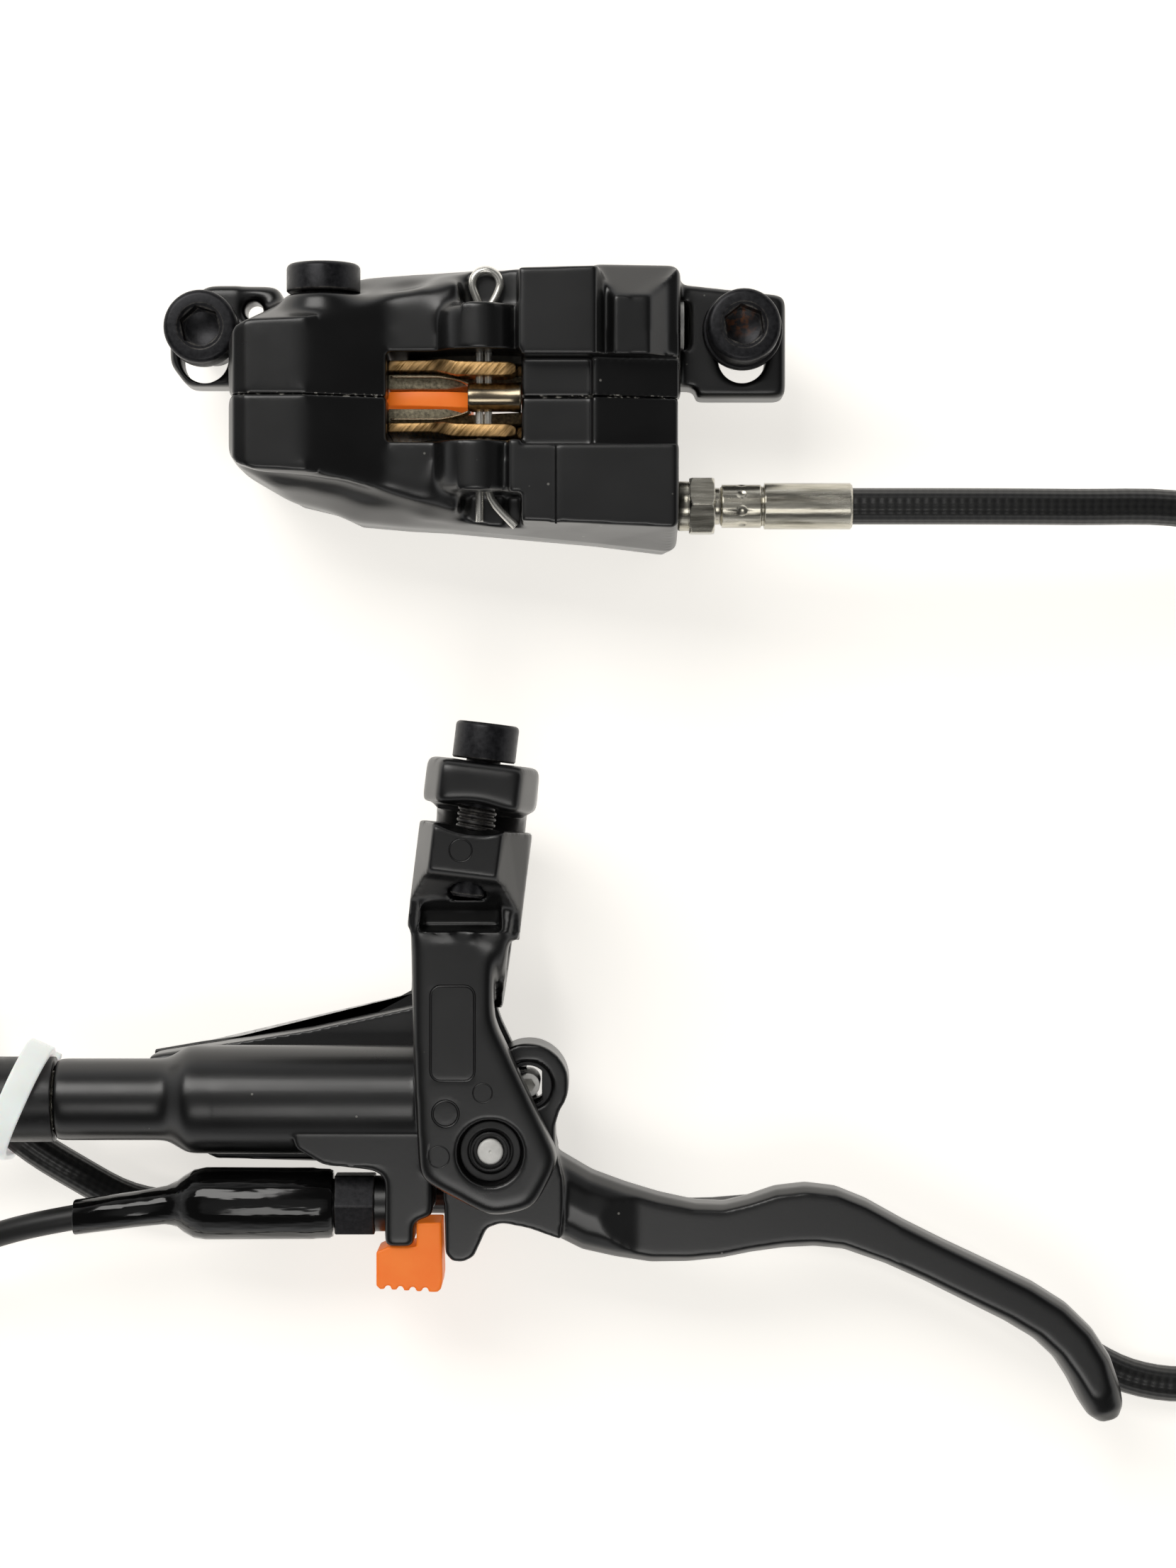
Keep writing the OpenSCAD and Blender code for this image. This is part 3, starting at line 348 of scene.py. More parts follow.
def cast(name, node, grain, rounds, faces, added=(), cut=(), soft=None, soft_rounds=40, marks=()):
    """A casting from a CAD node: bosses added, pockets cut, edges rounded as sand and paint round them, marks last.

    grain is the size of the voxels, rounds and soft_rounds count the smoothing, and soft says where it is strongest.
    """
    mesh = frame["nodes"][node].data.copy()
    mesh.materials.clear()
    obj = bpy.data.objects.new(name, mesh)
    scene.collection.objects.link(obj)
    pick(obj)
    bpy.ops.object.mode_set(mode="EDIT")
    bpy.ops.mesh.select_all(action="SELECT")
    bpy.ops.mesh.remove_doubles(threshold=0.000002)
    bpy.ops.object.mode_set(mode="OBJECT")
    carve(obj, added, cut)
    finish_with(obj, "REMESH", mode="VOXEL", voxel_size=grain)
    finish_with(obj, "SMOOTH", factor=0.5, iterations=rounds)
    if soft:
        group = obj.vertex_groups.new(name="soft")
        for v in obj.data.vertices:
            weight = soft(v.co * 1000)
            if weight > 0:
                group.add([v.index], min(1, weight), "REPLACE")
        finish_with(obj, "SMOOTH", factor=0.5, iterations=soft_rounds, vertex_group="soft")
        obj.vertex_groups.clear()
    finish_with(obj, "DECIMATE", ratio=min(1, faces / (2 * len(obj.data.polygons))))
    carve(obj, (), marks)
    pick(obj)
    bpy.ops.object.shade_smooth_by_angle(angle=math.radians(50))
    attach(obj, frame["nodes"][node]["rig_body"])
    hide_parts(node)
    return obj


def near_line(x, y, outline):
    """Distance in millimetres from a point to a closed outline."""
    best = 99
    for (ax, ay), (bx, by) in zip(outline, outline[1:] + outline[:1]):
        dx, dy = bx - ax, by - ay
        t = max(0, min(1, ((x - ax) * dx + (y - ay) * dy) / (dx ** 2 + dy ** 2)))
        best = min(best, math.hypot(x - ax - t * dx, y - ay - t * dy))
    return best


paint = bpy.data.materials.new("satin black paint on cast aluminium")
paint.use_nodes = True
tree = paint.node_tree
skin = tree.nodes["Principled BSDF"]
place = add(tree, "TexCoord")
# Orange peel of about 0.4 mm, and cloudy gloss a few millimetres across.
peel = add(tree, "TexNoise", {"Vector": (place, "Object"), "Scale": 2400.0, "Detail": 2.0, "Roughness": 0.6})
cloud = add(tree, "TexNoise", {"Vector": (place, "Object"), "Scale": 90.0, "Detail": 4.0})
shade = add(tree, "Mix", {0: (cloud, 0), 6: colour("#070707"), 7: colour("#0d0d0e")}, data_type="RGBA")
# Dust: rare pale specks, a tenth of a millimetre or two across.
dust = add(tree, "TexVoronoi", {"Vector": (place, "Object"), "Scale": 420.0})
speck = add(tree, "MapRange",
    {"Value": (dust, "Distance"), "From Min": 0.05, "From Max": 0.09, "To Min": 1.0, "To Max": 0.0})
rare = add(tree, "SeparateXYZ", {"Vector": (dust, "Color")})
few = add(tree, "Math", {0: (rare, "X"), 1: 0.93}, operation="GREATER_THAN")
both = add(tree, "Math", {0: (speck, 0), 1: (few, 0)}, operation="MULTIPLY")
dusty = add(tree, "Mix", {0: (both, 0), 6: (shade, 2), 7: colour("#7c7a75")}, data_type="RGBA")
# Pale flecks painted along the seam of the caliper halves, in spots of noise.
spot = add(tree, "SeparateXYZ", {"Vector": (place, "Object")})
SEAM = 0.061
off = add(tree, "Math", {0: (spot, "Y"), 1: SEAM}, operation="SUBTRACT")
apart = add(tree, "Math", {0: (off, 0)}, operation="ABSOLUTE")
edge_line = add(tree, "MapRange",
    {"Value": (apart, 0), "From Min": 0.00012, "From Max": 0.00028, "To Min": 1.0, "To Max": 0.0})
fleck_noise = add(tree, "TexNoise", {"Vector": (place, "Object"), "Scale": 1500.0, "Detail": 3.0})
fleck_spots = add(tree, "MapRange", {"Value": (fleck_noise, 0), "From Min": 0.58, "From Max": 0.66})
seam_flecks = add(tree, "Math", {0: (edge_line, 0), 1: (fleck_spots, 0)}, operation="MULTIPLY")
flecked = add(tree, "Mix", {0: (seam_flecks, 0), 6: (dusty, 2), 7: colour("#b5b2aa")}, data_type="RGBA")
tree.links.new(flecked.outputs[2], skin.inputs["Base Color"])
rough = add(tree, "MapRange", {"Value": (cloud, 0), "From Min": 0.3, "From Max": 0.7, "To Min": 0.27, "To Max": 0.34})
tree.links.new(rough.outputs[0], skin.inputs["Roughness"])
dent = add(tree, "Bump", {"Height": (peel, 0), "Strength": 0.1, "Distance": 0.00004})
tree.links.new(dent.outputs[0], skin.inputs["Normal"])
skin.inputs["IOR"].default_value = 1.6

# The arm's outline and the clamp's own axes, which lean by 7 degrees.
ARM = [(-10.8, 33), (-10.4, 12), (-9.6, -3.6), (0, -8.8), (6, -7.6), (9.4, -1), (0.4, 18), (0.6, 33)]
ARM_FACE = 31
CLAMP = (0, 0, 0)
LEAN = Matrix.Translation((LEVER + Vector((-3, 34.8, 17))) / 1000) @ Matrix.Rotation(math.radians(-7), 4, "Z")


def leaning(obj):
    """Moves a tool from the clamp's own axes to its place on the lever."""
    obj.data.transform(LEAN)
    return obj


def housing_soft(p):
    """Where the housing is rounded most: arm rim, shoulder of the cylinder, foot and clamp."""
    x, y = p.x - LEVER.x, p.y - LEVER.y
    # The arm's face has a soft rim 2.7 mm wide, and fades out over 1.2 mm of it.
    if p.z > 27.5 and y < 29.6:
        return max(0.5 if y > 28.3 else 0, (2.7 - near_line(x, y, ARM)) / 1.2)
    # Upper ear of the clamp, then its lower ear, crisp above and soft round the bar.
    if y > 45.4:
        return 0.75 if p.z > 26 else 0.5
    if y > 30:
        return 0.06 if p.z > 26 else 0.5
    # Shoulder at the left of the cylinder, and the foot that holds the switch.
    if x < -38 and y > -2:
        return 0.6
    if y < -2.6 and 9 < p.z < 25:
        return 0.2
    return 0


# The frame mark is a round-cornered rectangle of wire, sunk in the arm's face.
line = bpy.data.curves.new("frame mark", "CURVE")
line.dimensions = "3D"
line.bevel_depth = 0.0002
line.bevel_resolution = 2
MARK_CORNER = 1.3
route = []
for (cx, cy), start in (((-3.4, 21.2), 0), ((-6.7, 21.2), 90), ((-6.7, 11.0), 180), ((-3.4, 11.0), 270)):
    for a in (0, 22.5, 45, 67.5, 90):
        a = math.radians(start + a)
        route.append((cx + MARK_CORNER * math.cos(a), cy + MARK_CORNER * math.sin(a)))
loop = line.splines.new("POLY")
loop.points.add(len(route) - 1)
for point, (x, y) in zip(loop.points, route):
    point.co = ((x + LEVER.x) / 1000, (y + LEVER.y) / 1000, (ARM_FACE + 0.03) / 1000, 1)
loop.use_cyclic_u = True
frame_mark = bpy.data.objects.new("frame mark", line)
scene.collection.objects.link(frame_mark)
pick(frame_mark)
bpy.ops.object.convert(target="MESH")
frame_mark = bpy.context.object

# Metal behind the arm's face and under the recess, where the CAD node is open.
fills = [block((-7.6, 19, 25), (-0.6, 33, ARM_FACE), LEVER), block((-9.7, 26, 25), (0.3, 34.4, ARM_FACE), LEVER),
    block((-8, 30, 24), (0, 34.2, 33.5), LEVER)]
# Chamfers down both sides of the clamp's lower ear, and a hollow under its upper one.
right_chamfer = leaning(wedge([(3.2, -8, 22.4), (9, -8, 22.4), (9, -8, 11),
    (3.2, 9.6, 22.4), (9, 9.6, 22.4), (9, 9.6, 13)], CLAMP))
left_chamfer = leaning(wedge([(-5.3, -8, 22.4), (-9, -8, 22.4), (-9, -8, 14),
    (-5.3, 9.6, 22.4), (-9, 9.6, 22.4), (-9, 9.6, 14)], CLAMP))
hollow = leaning(egg((-0.4, 10.4, 26), (6.8, 2.7, 8.6), 0, CLAMP))
# Recess between the arm and the lower ear: a floor, then a steep wall with the
# end of the thread in it. Each row is a level of it: y, z, left x and right x.
recess = wedge([(x, y, z) for y, z, left, right in ((29.8, 39.5, -9.7, 1.9), (29.8, 31.3, -9.5, 1.5),
    (30.5, 28.9, -9.2, 1.3), (32.8, 30.0, -9.2, 1.4), (36.3, 37.0, -8.8, 1.5), (36.3, 39.5, -8.6, 1.4))
    for x in (left, right)], LEVER)
MARK_LEVEL = ARM_FACE + 0.02
round_marks = [ring((-6, 5.3, MARK_LEVEL), 1.75, 0.2, LEVER), ring((-1, 8.1, MARK_LEVEL), 1.3, 0.1, LEVER),
    ring((-6.9, -0.5, MARK_LEVEL), 1.45, 0.1, LEVER), ring((-3.7, 40.9, 38.42), 1.5, 0.12, LEVER)]
housing = cast("lever_casting", "lever_housing", 0.00027, 5, 150000, added=fills,
    cut=[right_chamfer, left_chamfer, hollow, recess], soft=housing_soft, soft_rounds=120,
    marks=[frame_mark] + round_marks)
housing.data.materials.append(paint)

# Lever blade: forged aluminium in the same satin black. The face is flat with
# a soft edge, and the grip side is fully rounded.
flats = []
for profile in (((11, 23.8), (20, 21.7), (92, 21.5), (92, 26), (11, 26)),
        ((11, 10.2), (20, 12.3), (92, 12.5), (92, 8), (11, 8))):
    flats.append(wedge([(x, y, z) for y in (-50, 10) for x, z in profile], LEVER))
blade = cast("blade_forging", "lever_blade", 0.0003, 14, 90000, cut=flats)
blade.data.materials.append(paint)

# Caliper: two aluminium halves, cast and painted satin black, bolted together
# across the rotor slot. A long hollow runs beside the bolt boss, and the right
# end falls away round a raised pad.
CALIPER = (-6.5, 61, 0)


def caliper_soft(p):
    """Where the halves are rounded most: the flanks, the bolt boss and the ramp to the pad window."""
    x, y = p.x - CALIPER[0], p.y - CALIPER[1]
    # The ears stand out past both ends.
    if not -33.6 < x < 26.4:
        return 0.25
    # The ramp is soft, but not within 0.7 mm of the seam.
    if -31 < x < -9 and p.z > 28 and abs(y) < 9.2:
        return min((abs(y) - 0.7) / 1.2, 1 if x < -14 else (abs(y) - 6.6) / 0.8)
    # The flat face, the window and the back stay crisp, and the flanks don't.
    if p.z > 33.2 or abs(y) < 8.5 or p.z < 2:
        return 0
    if x < -2:
        return 0.4 * (abs(y) - 8.5) / 1.5
    return 0.12


def across(y0, y1, profile):
    """A wedge with one profile of (x, z) points from y0 to y1, in caliper millimetres."""
    return wedge([(x, y, z) for y in (y0, y1) for x, z in profile], CALIPER)


RAMP = ((-24, 34.02), (-12.7, 29.7), (-12.7, 37), (-24, 37))
BRIDGE = ((14.8, 31.05), (26.8, 27.9), (26.8, 33), (14.8, 33))
# Metal beside the split pin's boss, between two levels: x and y of its corners.
upper_web = wedge([(x, y, z) for z, ends in ((25, (12.2, 12.2, 17.2, 16.4)), (29.8, (12.2, 12.2, 15.6, 13.9)))
    for x, y in zip((-8.4, -3, -3, -8.4), ends)], CALIPER)
lower_web = wedge([(x, -y, z) for z, ends in ((25, (12.8, 12.8, 17, 16.6)), (29.8, (12.8, 12.8, 15.5, 13.5)))
    for x, y in zip((-8.4, -3, -3, -8.4), ends)], CALIPER)
# A raised pad at the right end has three sloping sides.
pad_slopes = wedge([(17.6, 13, 33.5), (22.6, 13, 33.3), (14.9, 19, 27.6), (27.4, 19, 26),
    (14.9, 19, 37), (27.4, 19, 37), (17.6, 13, 37), (22.6, 13, 37)], CALIPER)
upper = cast("caliper_casting_upper", "caliper_half_upper", 0.00027, 6, 120000,
    added=[rod((20.3, 13.4, 26.6), (20.3, 18.1, 26.6), 5.5, CALIPER),
           block((14.8, 0, 27), (25.9, 5.5, 31), CALIPER), upper_web],
    cut=[across(-20, 20, RAMP), across(-1, 5.35, BRIDGE), pad_slopes,
         egg((-10, 16.4, 28.6), (4.4, 1.8, 5), 14, CALIPER)],
    soft=caliper_soft, soft_rounds=170)
upper.data.materials.append(paint)
lower = cast("caliper_casting_lower", "caliper_half_lower", 0.00027, 6, 120000,
    added=[block((14.8, -6.8, 27), (25.9, 0, 31), CALIPER),
           block((9.2, -17.3, 30), (10.6, -6.8, 33.9), CALIPER), lower_web],
    cut=[across(-20, 20, RAMP), across(-6.75, 1, BRIDGE),
         rod((-35, -12.4, 29.4), (-19.6, -14.6, 29.4), 3.5, CALIPER),
         rod((-20.4, -14.4, 29.4), (-6, -18.8, 29.4), 3.5, CALIPER)],
    soft=caliper_soft, soft_rounds=170, marks=[block((9.75, -20, 32.2), (10.05, -6.5, 36), CALIPER)])
lower.data.materials.append(paint)


# Socket screws: pinch bolt, two body bolts and two mounting bolts, steel with a
# black oxide skin. Rims are painted a little brighter, partly as wear and partly as
# painted highlight, and damp has left some rust in the socket of the right mounting bolt.
def lathe(name, profile, start, aim, steps=64):
    """A turned piece: (radius, height) pairs in millimetres along an axis from start towards aim."""
    mesh = bpy.data.meshes.new(name)
    mesh.from_pydata([(r / 1000, 0, h / 1000) for r, h in profile], [(i, i + 1) for i in range(len(profile) - 1)], [])
    obj = bpy.data.objects.new(name, mesh)
    scene.collection.objects.link(obj)
    finish_with(obj, "SCREW", axis="Z", steps=steps, render_steps=steps, use_merge_vertices=True, merge_threshold=0.000001)
    turn = Vector(aim).to_track_quat("Z", "Y").to_matrix().to_4x4()
    obj.data.transform(Matrix.Translation([v / 1000 for v in start]) @ turn)
    bpy.ops.object.mode_set(mode="EDIT")
    bpy.ops.mesh.select_all(action="SELECT")
    bpy.ops.mesh.normals_make_consistent(inside=False)
    bpy.ops.object.mode_set(mode="OBJECT")
    return obj


def settle(name, objects, body, material, nodes, angle=32):
    """Joins the parts of a piece, gives it shading, finish and body, and hides the CAD nodes that it stands for."""
    bpy.ops.object.select_all(action="DESELECT")
    for obj in objects:
        obj.select_set(True)
    bpy.context.view_layer.objects.active = objects[0]
    if len(objects) > 1:
        bpy.ops.object.join()
    obj = objects[0]
    obj.name = name
    bpy.ops.object.shade_smooth_by_angle(angle=math.radians(angle))
    obj.data.materials.clear()
    obj.data.materials.append(material)
    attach(obj, body)
    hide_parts(*nodes)
    return obj


def socket_screw(start, aim, radius, height, socket, deep, shank, length, turn=0):
    """A socket head screw: start is the middle of its seat, aim points out of the head.

    radius and height are the head's, socket and deep its hexagon's, shank and length the shank's, in millimetres.
    """
    rim = 0.14 * radius
    arc = [(radius - rim * (1 - math.cos(a)), height - rim * (1 - math.sin(a))) for a in (0, 0.4, 0.8, 1.2, math.pi / 2)]
    shaft = [(0, -length), (shank - 0.4, -length), (shank, 0.4 - length), (shank, 0), (radius - 0.2, 0), (radius, 0.2)]
    obj = lathe("screw", shaft + arc + [(0, height)], start, aim)
    out = Vector(aim).normalized()
    a, b = Vector(start) + out * (height - deep), Vector(start) + out * (height + 1)
    hexagon = rod(a, b, socket, (0, 0, 0), 6)
    spin = Matrix.Rotation(math.radians(turn), 4, out)
    hexagon.data.transform(Matrix.Translation(a / 1000) @ spin @ Matrix.Translation(-a / 1000))
    point = lathe("point", [(0, -0.8), (0.8 * socket, 0), (0.8 * socket, 0.3), (0, 0.3)], a, aim, 32)
    funnel = [(0, -0.35), (socket * 0.94, -0.35), (socket * 1.12, 0.05), (socket * 1.12, 0.4), (0, 0.4)]
    lead = lathe("lead", funnel, Vector(start) + out * height, aim, 48)
    carve(obj, (), (hexagon, point, lead))
    return obj


def metal(title, low, high, roughness, metallic, scale, bump, stretch=(1, 1, 1), edge=None, wear_and_highlight=0.0):
    """A finish whose grain varies colour, gloss and dents; edge is the colour that rims are painted towards, partly as
    wear and partly as painted highlight.
    """
    material = bpy.data.materials.new(title)
    material.use_nodes = True
    tree = material.node_tree
    skin = tree.nodes["Principled BSDF"]
    place = add(tree, "TexCoord")
    way = add(tree, "Mapping", {"Vector": (place, "Object"), "Scale": stretch})
    grain = add(tree, "TexNoise", {"Vector": (way, 0), "Scale": scale, "Detail": 5.0, "Roughness": 0.6})
    even = add(tree, "MapRange", {"Value": (grain, 0), "From Min": 0.3, "From Max": 0.7})
    shade = add(tree, "Mix", {0: (even, 0), 6: colour(low), 7: colour(high)}, data_type="RGBA")
    rounded = add(tree, "Bevel", {"Radius": 0.0003}, samples=6)
    # Rims are painted towards the edge colour: partly wear, partly painted highlight.
    if edge:
        shape = add(tree, "NewGeometry")
        same = add(tree, "VectorMath", {0: (rounded, 0), 1: (shape, "Normal")}, operation="DOT_PRODUCT")
        rim = add(tree, "MapRange",
            {"Value": (same, "Value"), "From Min": 0.93, "From Max": 0.995, "To Min": wear_and_highlight, "To Max": 0.0})
        patchy = add(tree, "Math", {0: (rim, 0), 1: (even, 0)}, operation="MULTIPLY")
        shade = add(tree, "Mix", {0: (patchy, 0), 6: (shade, 2), 7: colour(edge)}, data_type="RGBA")
    tree.links.new(shade.outputs[2], skin.inputs["Base Color"])
    gloss = add(tree, "MapRange",
        {"Value": (grain, 0), "From Min": 0.3, "From Max": 0.7, "To Min": roughness * 0.8, "To Max": roughness * 1.25})
    tree.links.new(gloss.outputs[0], skin.inputs["Roughness"])
    dent = add(tree, "Bump", {"Height": (grain, 0), "Normal": (rounded, 0), "Strength": bump, "Distance": 0.00005})
    tree.links.new(dent.outputs[0], skin.inputs["Normal"])
    skin.inputs["Metallic"].default_value = metallic
    return material


oxide = metal("black oxide steel", "#17171a", "#2b2b2e", 0.36, 0.55, 1500.0, 0.35, edge="#77736b", wear_and_highlight=0.9)
seat = LEAN @ Vector((0, 0.0182, 0.0164)) * 1000
lean = LEAN.to_3x3() @ Vector((0, 1, 0))
pinch = socket_screw(seat, lean, radius=4.25, height=5, socket=2.3, deep=3.4, shank=2.3, length=18.4)
PITCH, THREAD = 0.0008, 0.0023
turns = []
for k in range(70):
    a = 0.35 * k
    turns.append(LEAN @ Vector((THREAD * math.cos(a), 0.0088 + PITCH * a / (2 * math.pi), 0.0164 + THREAD * math.sin(a))))
settle("clamp_screw", [pinch, laid_tube("thread", turns, 0.00033, 8)], "brake", oxide, ["clamp_bolt"])

halves = [socket_screw((-28.2, 75.35, 26.6), (0, 1, 0), radius=5, height=3.85, socket=2.9, deep=2.6, shank=3, length=23.8),
    socket_screw((13.8, 71.1, 26.6), (0, 1, 0), radius=5, height=3.85, socket=2.9, deep=2.6, shank=2.6, length=19.6)]
settle("body_screws", halves, "brake", oxide, ["body_bolts"])

MOUNT_SCREW = {"radius": 5, "height": 6, "socket": 2.89, "deep": 3.2, "shank": 2.9, "length": 18}
left_bolt = socket_screw((-45.1, 71, 20), (0, 0, 1), turn=12, **MOUNT_SCREW)
settle("mount_screw_left", [left_bolt], "brake", oxide, ["mount_bolt_left"])

rusty = oxide.copy()
rusty.name = "black oxide steel with a little rust"
tree = rusty.node_tree
skin = tree.nodes["Principled BSDF"]
place = add(tree, "TexCoord")
inside = add(tree, "VectorMath", {0: (place, "Object"), 1: (0.0284, 0.0722, 0.0248)}, operation="DISTANCE")
near = add(tree, "MapRange",
    {"Value": (inside, "Value"), "From Min": 0.0008, "From Max": 0.0028, "To Min": 1.0, "To Max": 0.0})
patch = add(tree, "TexNoise", {"Vector": (place, "Object"), "Scale": 1100.0, "Detail": 4.0})
spot = add(tree, "MapRange", {"Value": (patch, 0), "From Min": 0.45, "From Max": 0.62})
amount = add(tree, "Math", {0: (near, 0), 1: (spot, 0)}, operation="MULTIPLY")
plainer = skin.inputs["Base Color"].links[0].from_socket
stain = add(tree, "Mix", {0: (amount, 0), 7: colour("#6e3f1d")}, data_type="RGBA")
tree.links.new(plainer, stain.inputs[6])
tree.links.new(stain.outputs[2], skin.inputs["Base Color"])
right_bolt = socket_screw((28.9, 71, 21.6), (0, 0, 1), turn=8, **MOUNT_SCREW)
settle("mount_screw_right", [right_bolt], "brake", rusty, ["mount_bolt_right"])

# Brake pads: a brass plate 1.8 mm thick with a jogged tab for the split pin,
# ground across at a slant, and a grey-olive sintered lining on its inner face.
def plate(name, stations, side):
    """A bar with a four-cornered section at each station: x, y from, y to, z from, z to in caliper millimetres."""
    points, faces = [], []
    for x, y0, y1, z0, z1 in stations:
        section = ((y0, z0), (y1, z0), (y1, z1), (y0, z1))
        points += [(x + CALIPER[0], CALIPER[1] + side * y, z) for y, z in section]
    for i in range(len(stations) - 1):
        faces += [(4 * i + k, 4 * i + (k + 1) % 4, 4 * i + 4 + (k + 1) % 4, 4 * i + 4 + k) for k in range(4)]
    last = 4 * len(stations) - 4
    faces += [(3, 2, 1, 0), (last, last + 1, last + 2, last + 3)]
    obj = shell(name, points, faces)
    finish_with(obj, "BEVEL", width=0.00022, segments=3, limit_method="ANGLE", angle_limit=math.radians(40))
    return obj


# Streaks of the grind, painted from a shade tone up to a highlight tone: real grain carrying painted glints.
brass = metal("ground brass with painted glints", "#6b4f26", "#ecc288", 0.4, 1.0, 900.0, 1.3)
tree = brass.node_tree
way = next(n for n in tree.nodes if n.type == "MAPPING")
way.vector_type = "TEXTURE"
way.inputs["Rotation"].default_value = (0, 0, math.radians(-42))
way.inputs["Scale"].default_value = (0.3, 3.0, 3.0)
sinter = metal("sintered lining", "#5a5546", "#b8ae94", 0.85, 0.0, 2200.0, 1.6)
BACK = 1.2
# Stations of both plates' tabs: x and top z, then the inner and outer y of each.
TAB_ENDS = ((-12.95, 27.2), (-7.4, 27.6), (-6.3, 28.4), (-5.2, 29.6), (-3.6, 30.8), (2.8, 30.9), (3.8, 30.8),
    (4.35, 30.6), (4.5, 30.4))
UPPER_TAB = ((3.7, 5.15), (3.7, 5.15), (3.6, 5.2), (3.3, 5.1), (2.86, 4.7), (2.76, 4.6), (2.88, 4.52), (3.15, 4.25), (3.5, 3.95))
LOWER_TAB = ((3.32, 4.6), (3.32, 4.6), (3.34, 4.75), (3.45, 5.1), (3.75, 5.5), (3.8, 5.6), (3.92, 5.52), (4.2, 5.25), (4.5, 4.95))
SHOULDER = [(4.4, 3.3, 5.1, BACK, 22), (12.6, 3.3, 5.1, BACK, 22)]
GRIT = [(-12.95, 1.35, 3.3, 1.8, 26.4), (-5, 1.35, 3.3, 1.8, 26.4), (-3.6, 1.6, 3.25, 1.8, 25.6),
    (-2, 2, 3.2, 1.8, 24.8), (12.2, 1.3, 3.3, 1.8, 24.4)]
for word, side, tab in (("upper", 1, UPPER_TAB), ("lower", -1, LOWER_TAB)):
    stations = [(x, y0, y1, BACK, top) for (x, top), (y0, y1) in zip(TAB_ENDS, tab)]
    backing = [plate("plate", stations, side), plate("shoulder", SHOULDER, side)]
    settle("plate_" + word, backing, "pad_" + word, brass, ["pad_plate_" + word], 40)
    lining = [plate("lining", GRIT, side)]
    settle("lining_" + word, lining, "pad_" + word, sinter, ["pad_lining_" + word], 40)

# Pad spacer: an orange plastic tongue between the linings, slightly bowed. It is
# moulded, and keeps the pads apart until the brake is fitted.
orange = bpy.data.materials.new("bright orange plastic")
orange.use_nodes = True
tree = orange.node_tree
skin = tree.nodes["Principled BSDF"]
place = add(tree, "TexCoord")
grain = add(tree, "TexNoise", {"Vector": (place, "Object"), "Scale": 260.0, "Detail": 4.0})
shade = add(tree, "Mix", {0: (grain, 0), 6: colour("#f57016"), 7: colour("#ff8830")}, data_type="RGBA")
# Painted glow: an emission in its own colour stands in for light of the white table coming through the thin plastic.
tree.links.new(shade.outputs[2], skin.inputs["Emission Color"])
skin.inputs["Emission Strength"].default_value = 0.3
tree.links.new(shade.outputs[2], skin.inputs["Base Color"])
rounded = add(tree, "Bevel", {"Radius": 0.0002}, samples=4)
dent = add(tree, "Bump", {"Height": (grain, 0), "Normal": (rounded, 0), "Strength": 0.15, "Distance": 0.0001})
tree.links.new(dent.outputs[0], skin.inputs["Normal"])
skin.inputs["Roughness"].default_value = 0.42
skin.inputs["Subsurface Weight"].default_value = 0.12
skin.inputs["Subsurface Scale"].default_value = 0.002
tongue = plate("tongue", [(-17.8, -0.85, 0.85, 4, 23), (-13, -0.85, 0.85, 4, 23.2), (-12.9, -0.8, 1.02, 4, 25.6),
    (-9, -0.9, 1.05, 4, 26), (-5, -1.04, 1.0, 4, 26.2), (-2, -1.2, 0.9, 4, 26)], 1)
settle("spacer_tongue", [tongue], "brake", orange, ["pad_spacer"])

# Pad spring: thin stainless sheet, a saddle over the pin with two long leaves
# that press the plates apart. Its brown tone and streaks are painted warm reflections and highlight bands.
saddle = metal("spring steel with painted reflection streaks", "#6c6253", "#b5a88f", 0.2, 1.0, 300.0, 0.3, stretch=(0.2, 3, 1))
STEPS = 16
ARCHES = ((-2.0, 1.65, 28.5), (-1.4, 1.85, 28.35), (0, 1.8, 28.3), (3.6, 1.8, 28.3), (4.8, 1.9, 28.35), (5.15, 1.95, 28.4))
points, faces = [], []
for i, (x, radius, z) in enumerate(ARCHES):
    for k in range(STEPS + 1):
        a = math.pi * k / STEPS
        points.append([c / 1000 for c in (x + CALIPER[0], CALIPER[1] + radius * math.cos(a), z + radius * math.sin(a))])
    first, following = (STEPS + 1) * i, (STEPS + 1) * (i + 1)
    if i < len(ARCHES) - 1:
        faces += [(first + k, first + k + 1, following + k + 1, following + k) for k in range(STEPS)]
mesh = bpy.data.meshes.new("saddle")
mesh.from_pydata(points, [], faces)
sheet = bpy.data.objects.new("saddle", mesh)
scene.collection.objects.link(sheet)
finish_with(sheet, "SOLIDIFY", thickness=0.0003, offset=0)
LEAF = [(-12.6, 2.76, 2.98, 24.9, 27.6), (-6, 2.76, 2.98, 24.9, 27.8), (-4.2, 2.48, 2.7, 24.9, 28.1),
    (-3.1, 2.22, 2.46, 24.9, 28.4), (-2.3, 1.9, 2.15, 24.9, 28.6), (-1.7, 1.6, 1.85, 24.9, 28.7)]
leaves = [plate("leaf", LEAF, side) for side in (1, -1)]
settle("spring_sheet", [sheet] + leaves, "brake", saddle, ["pad_spring"])

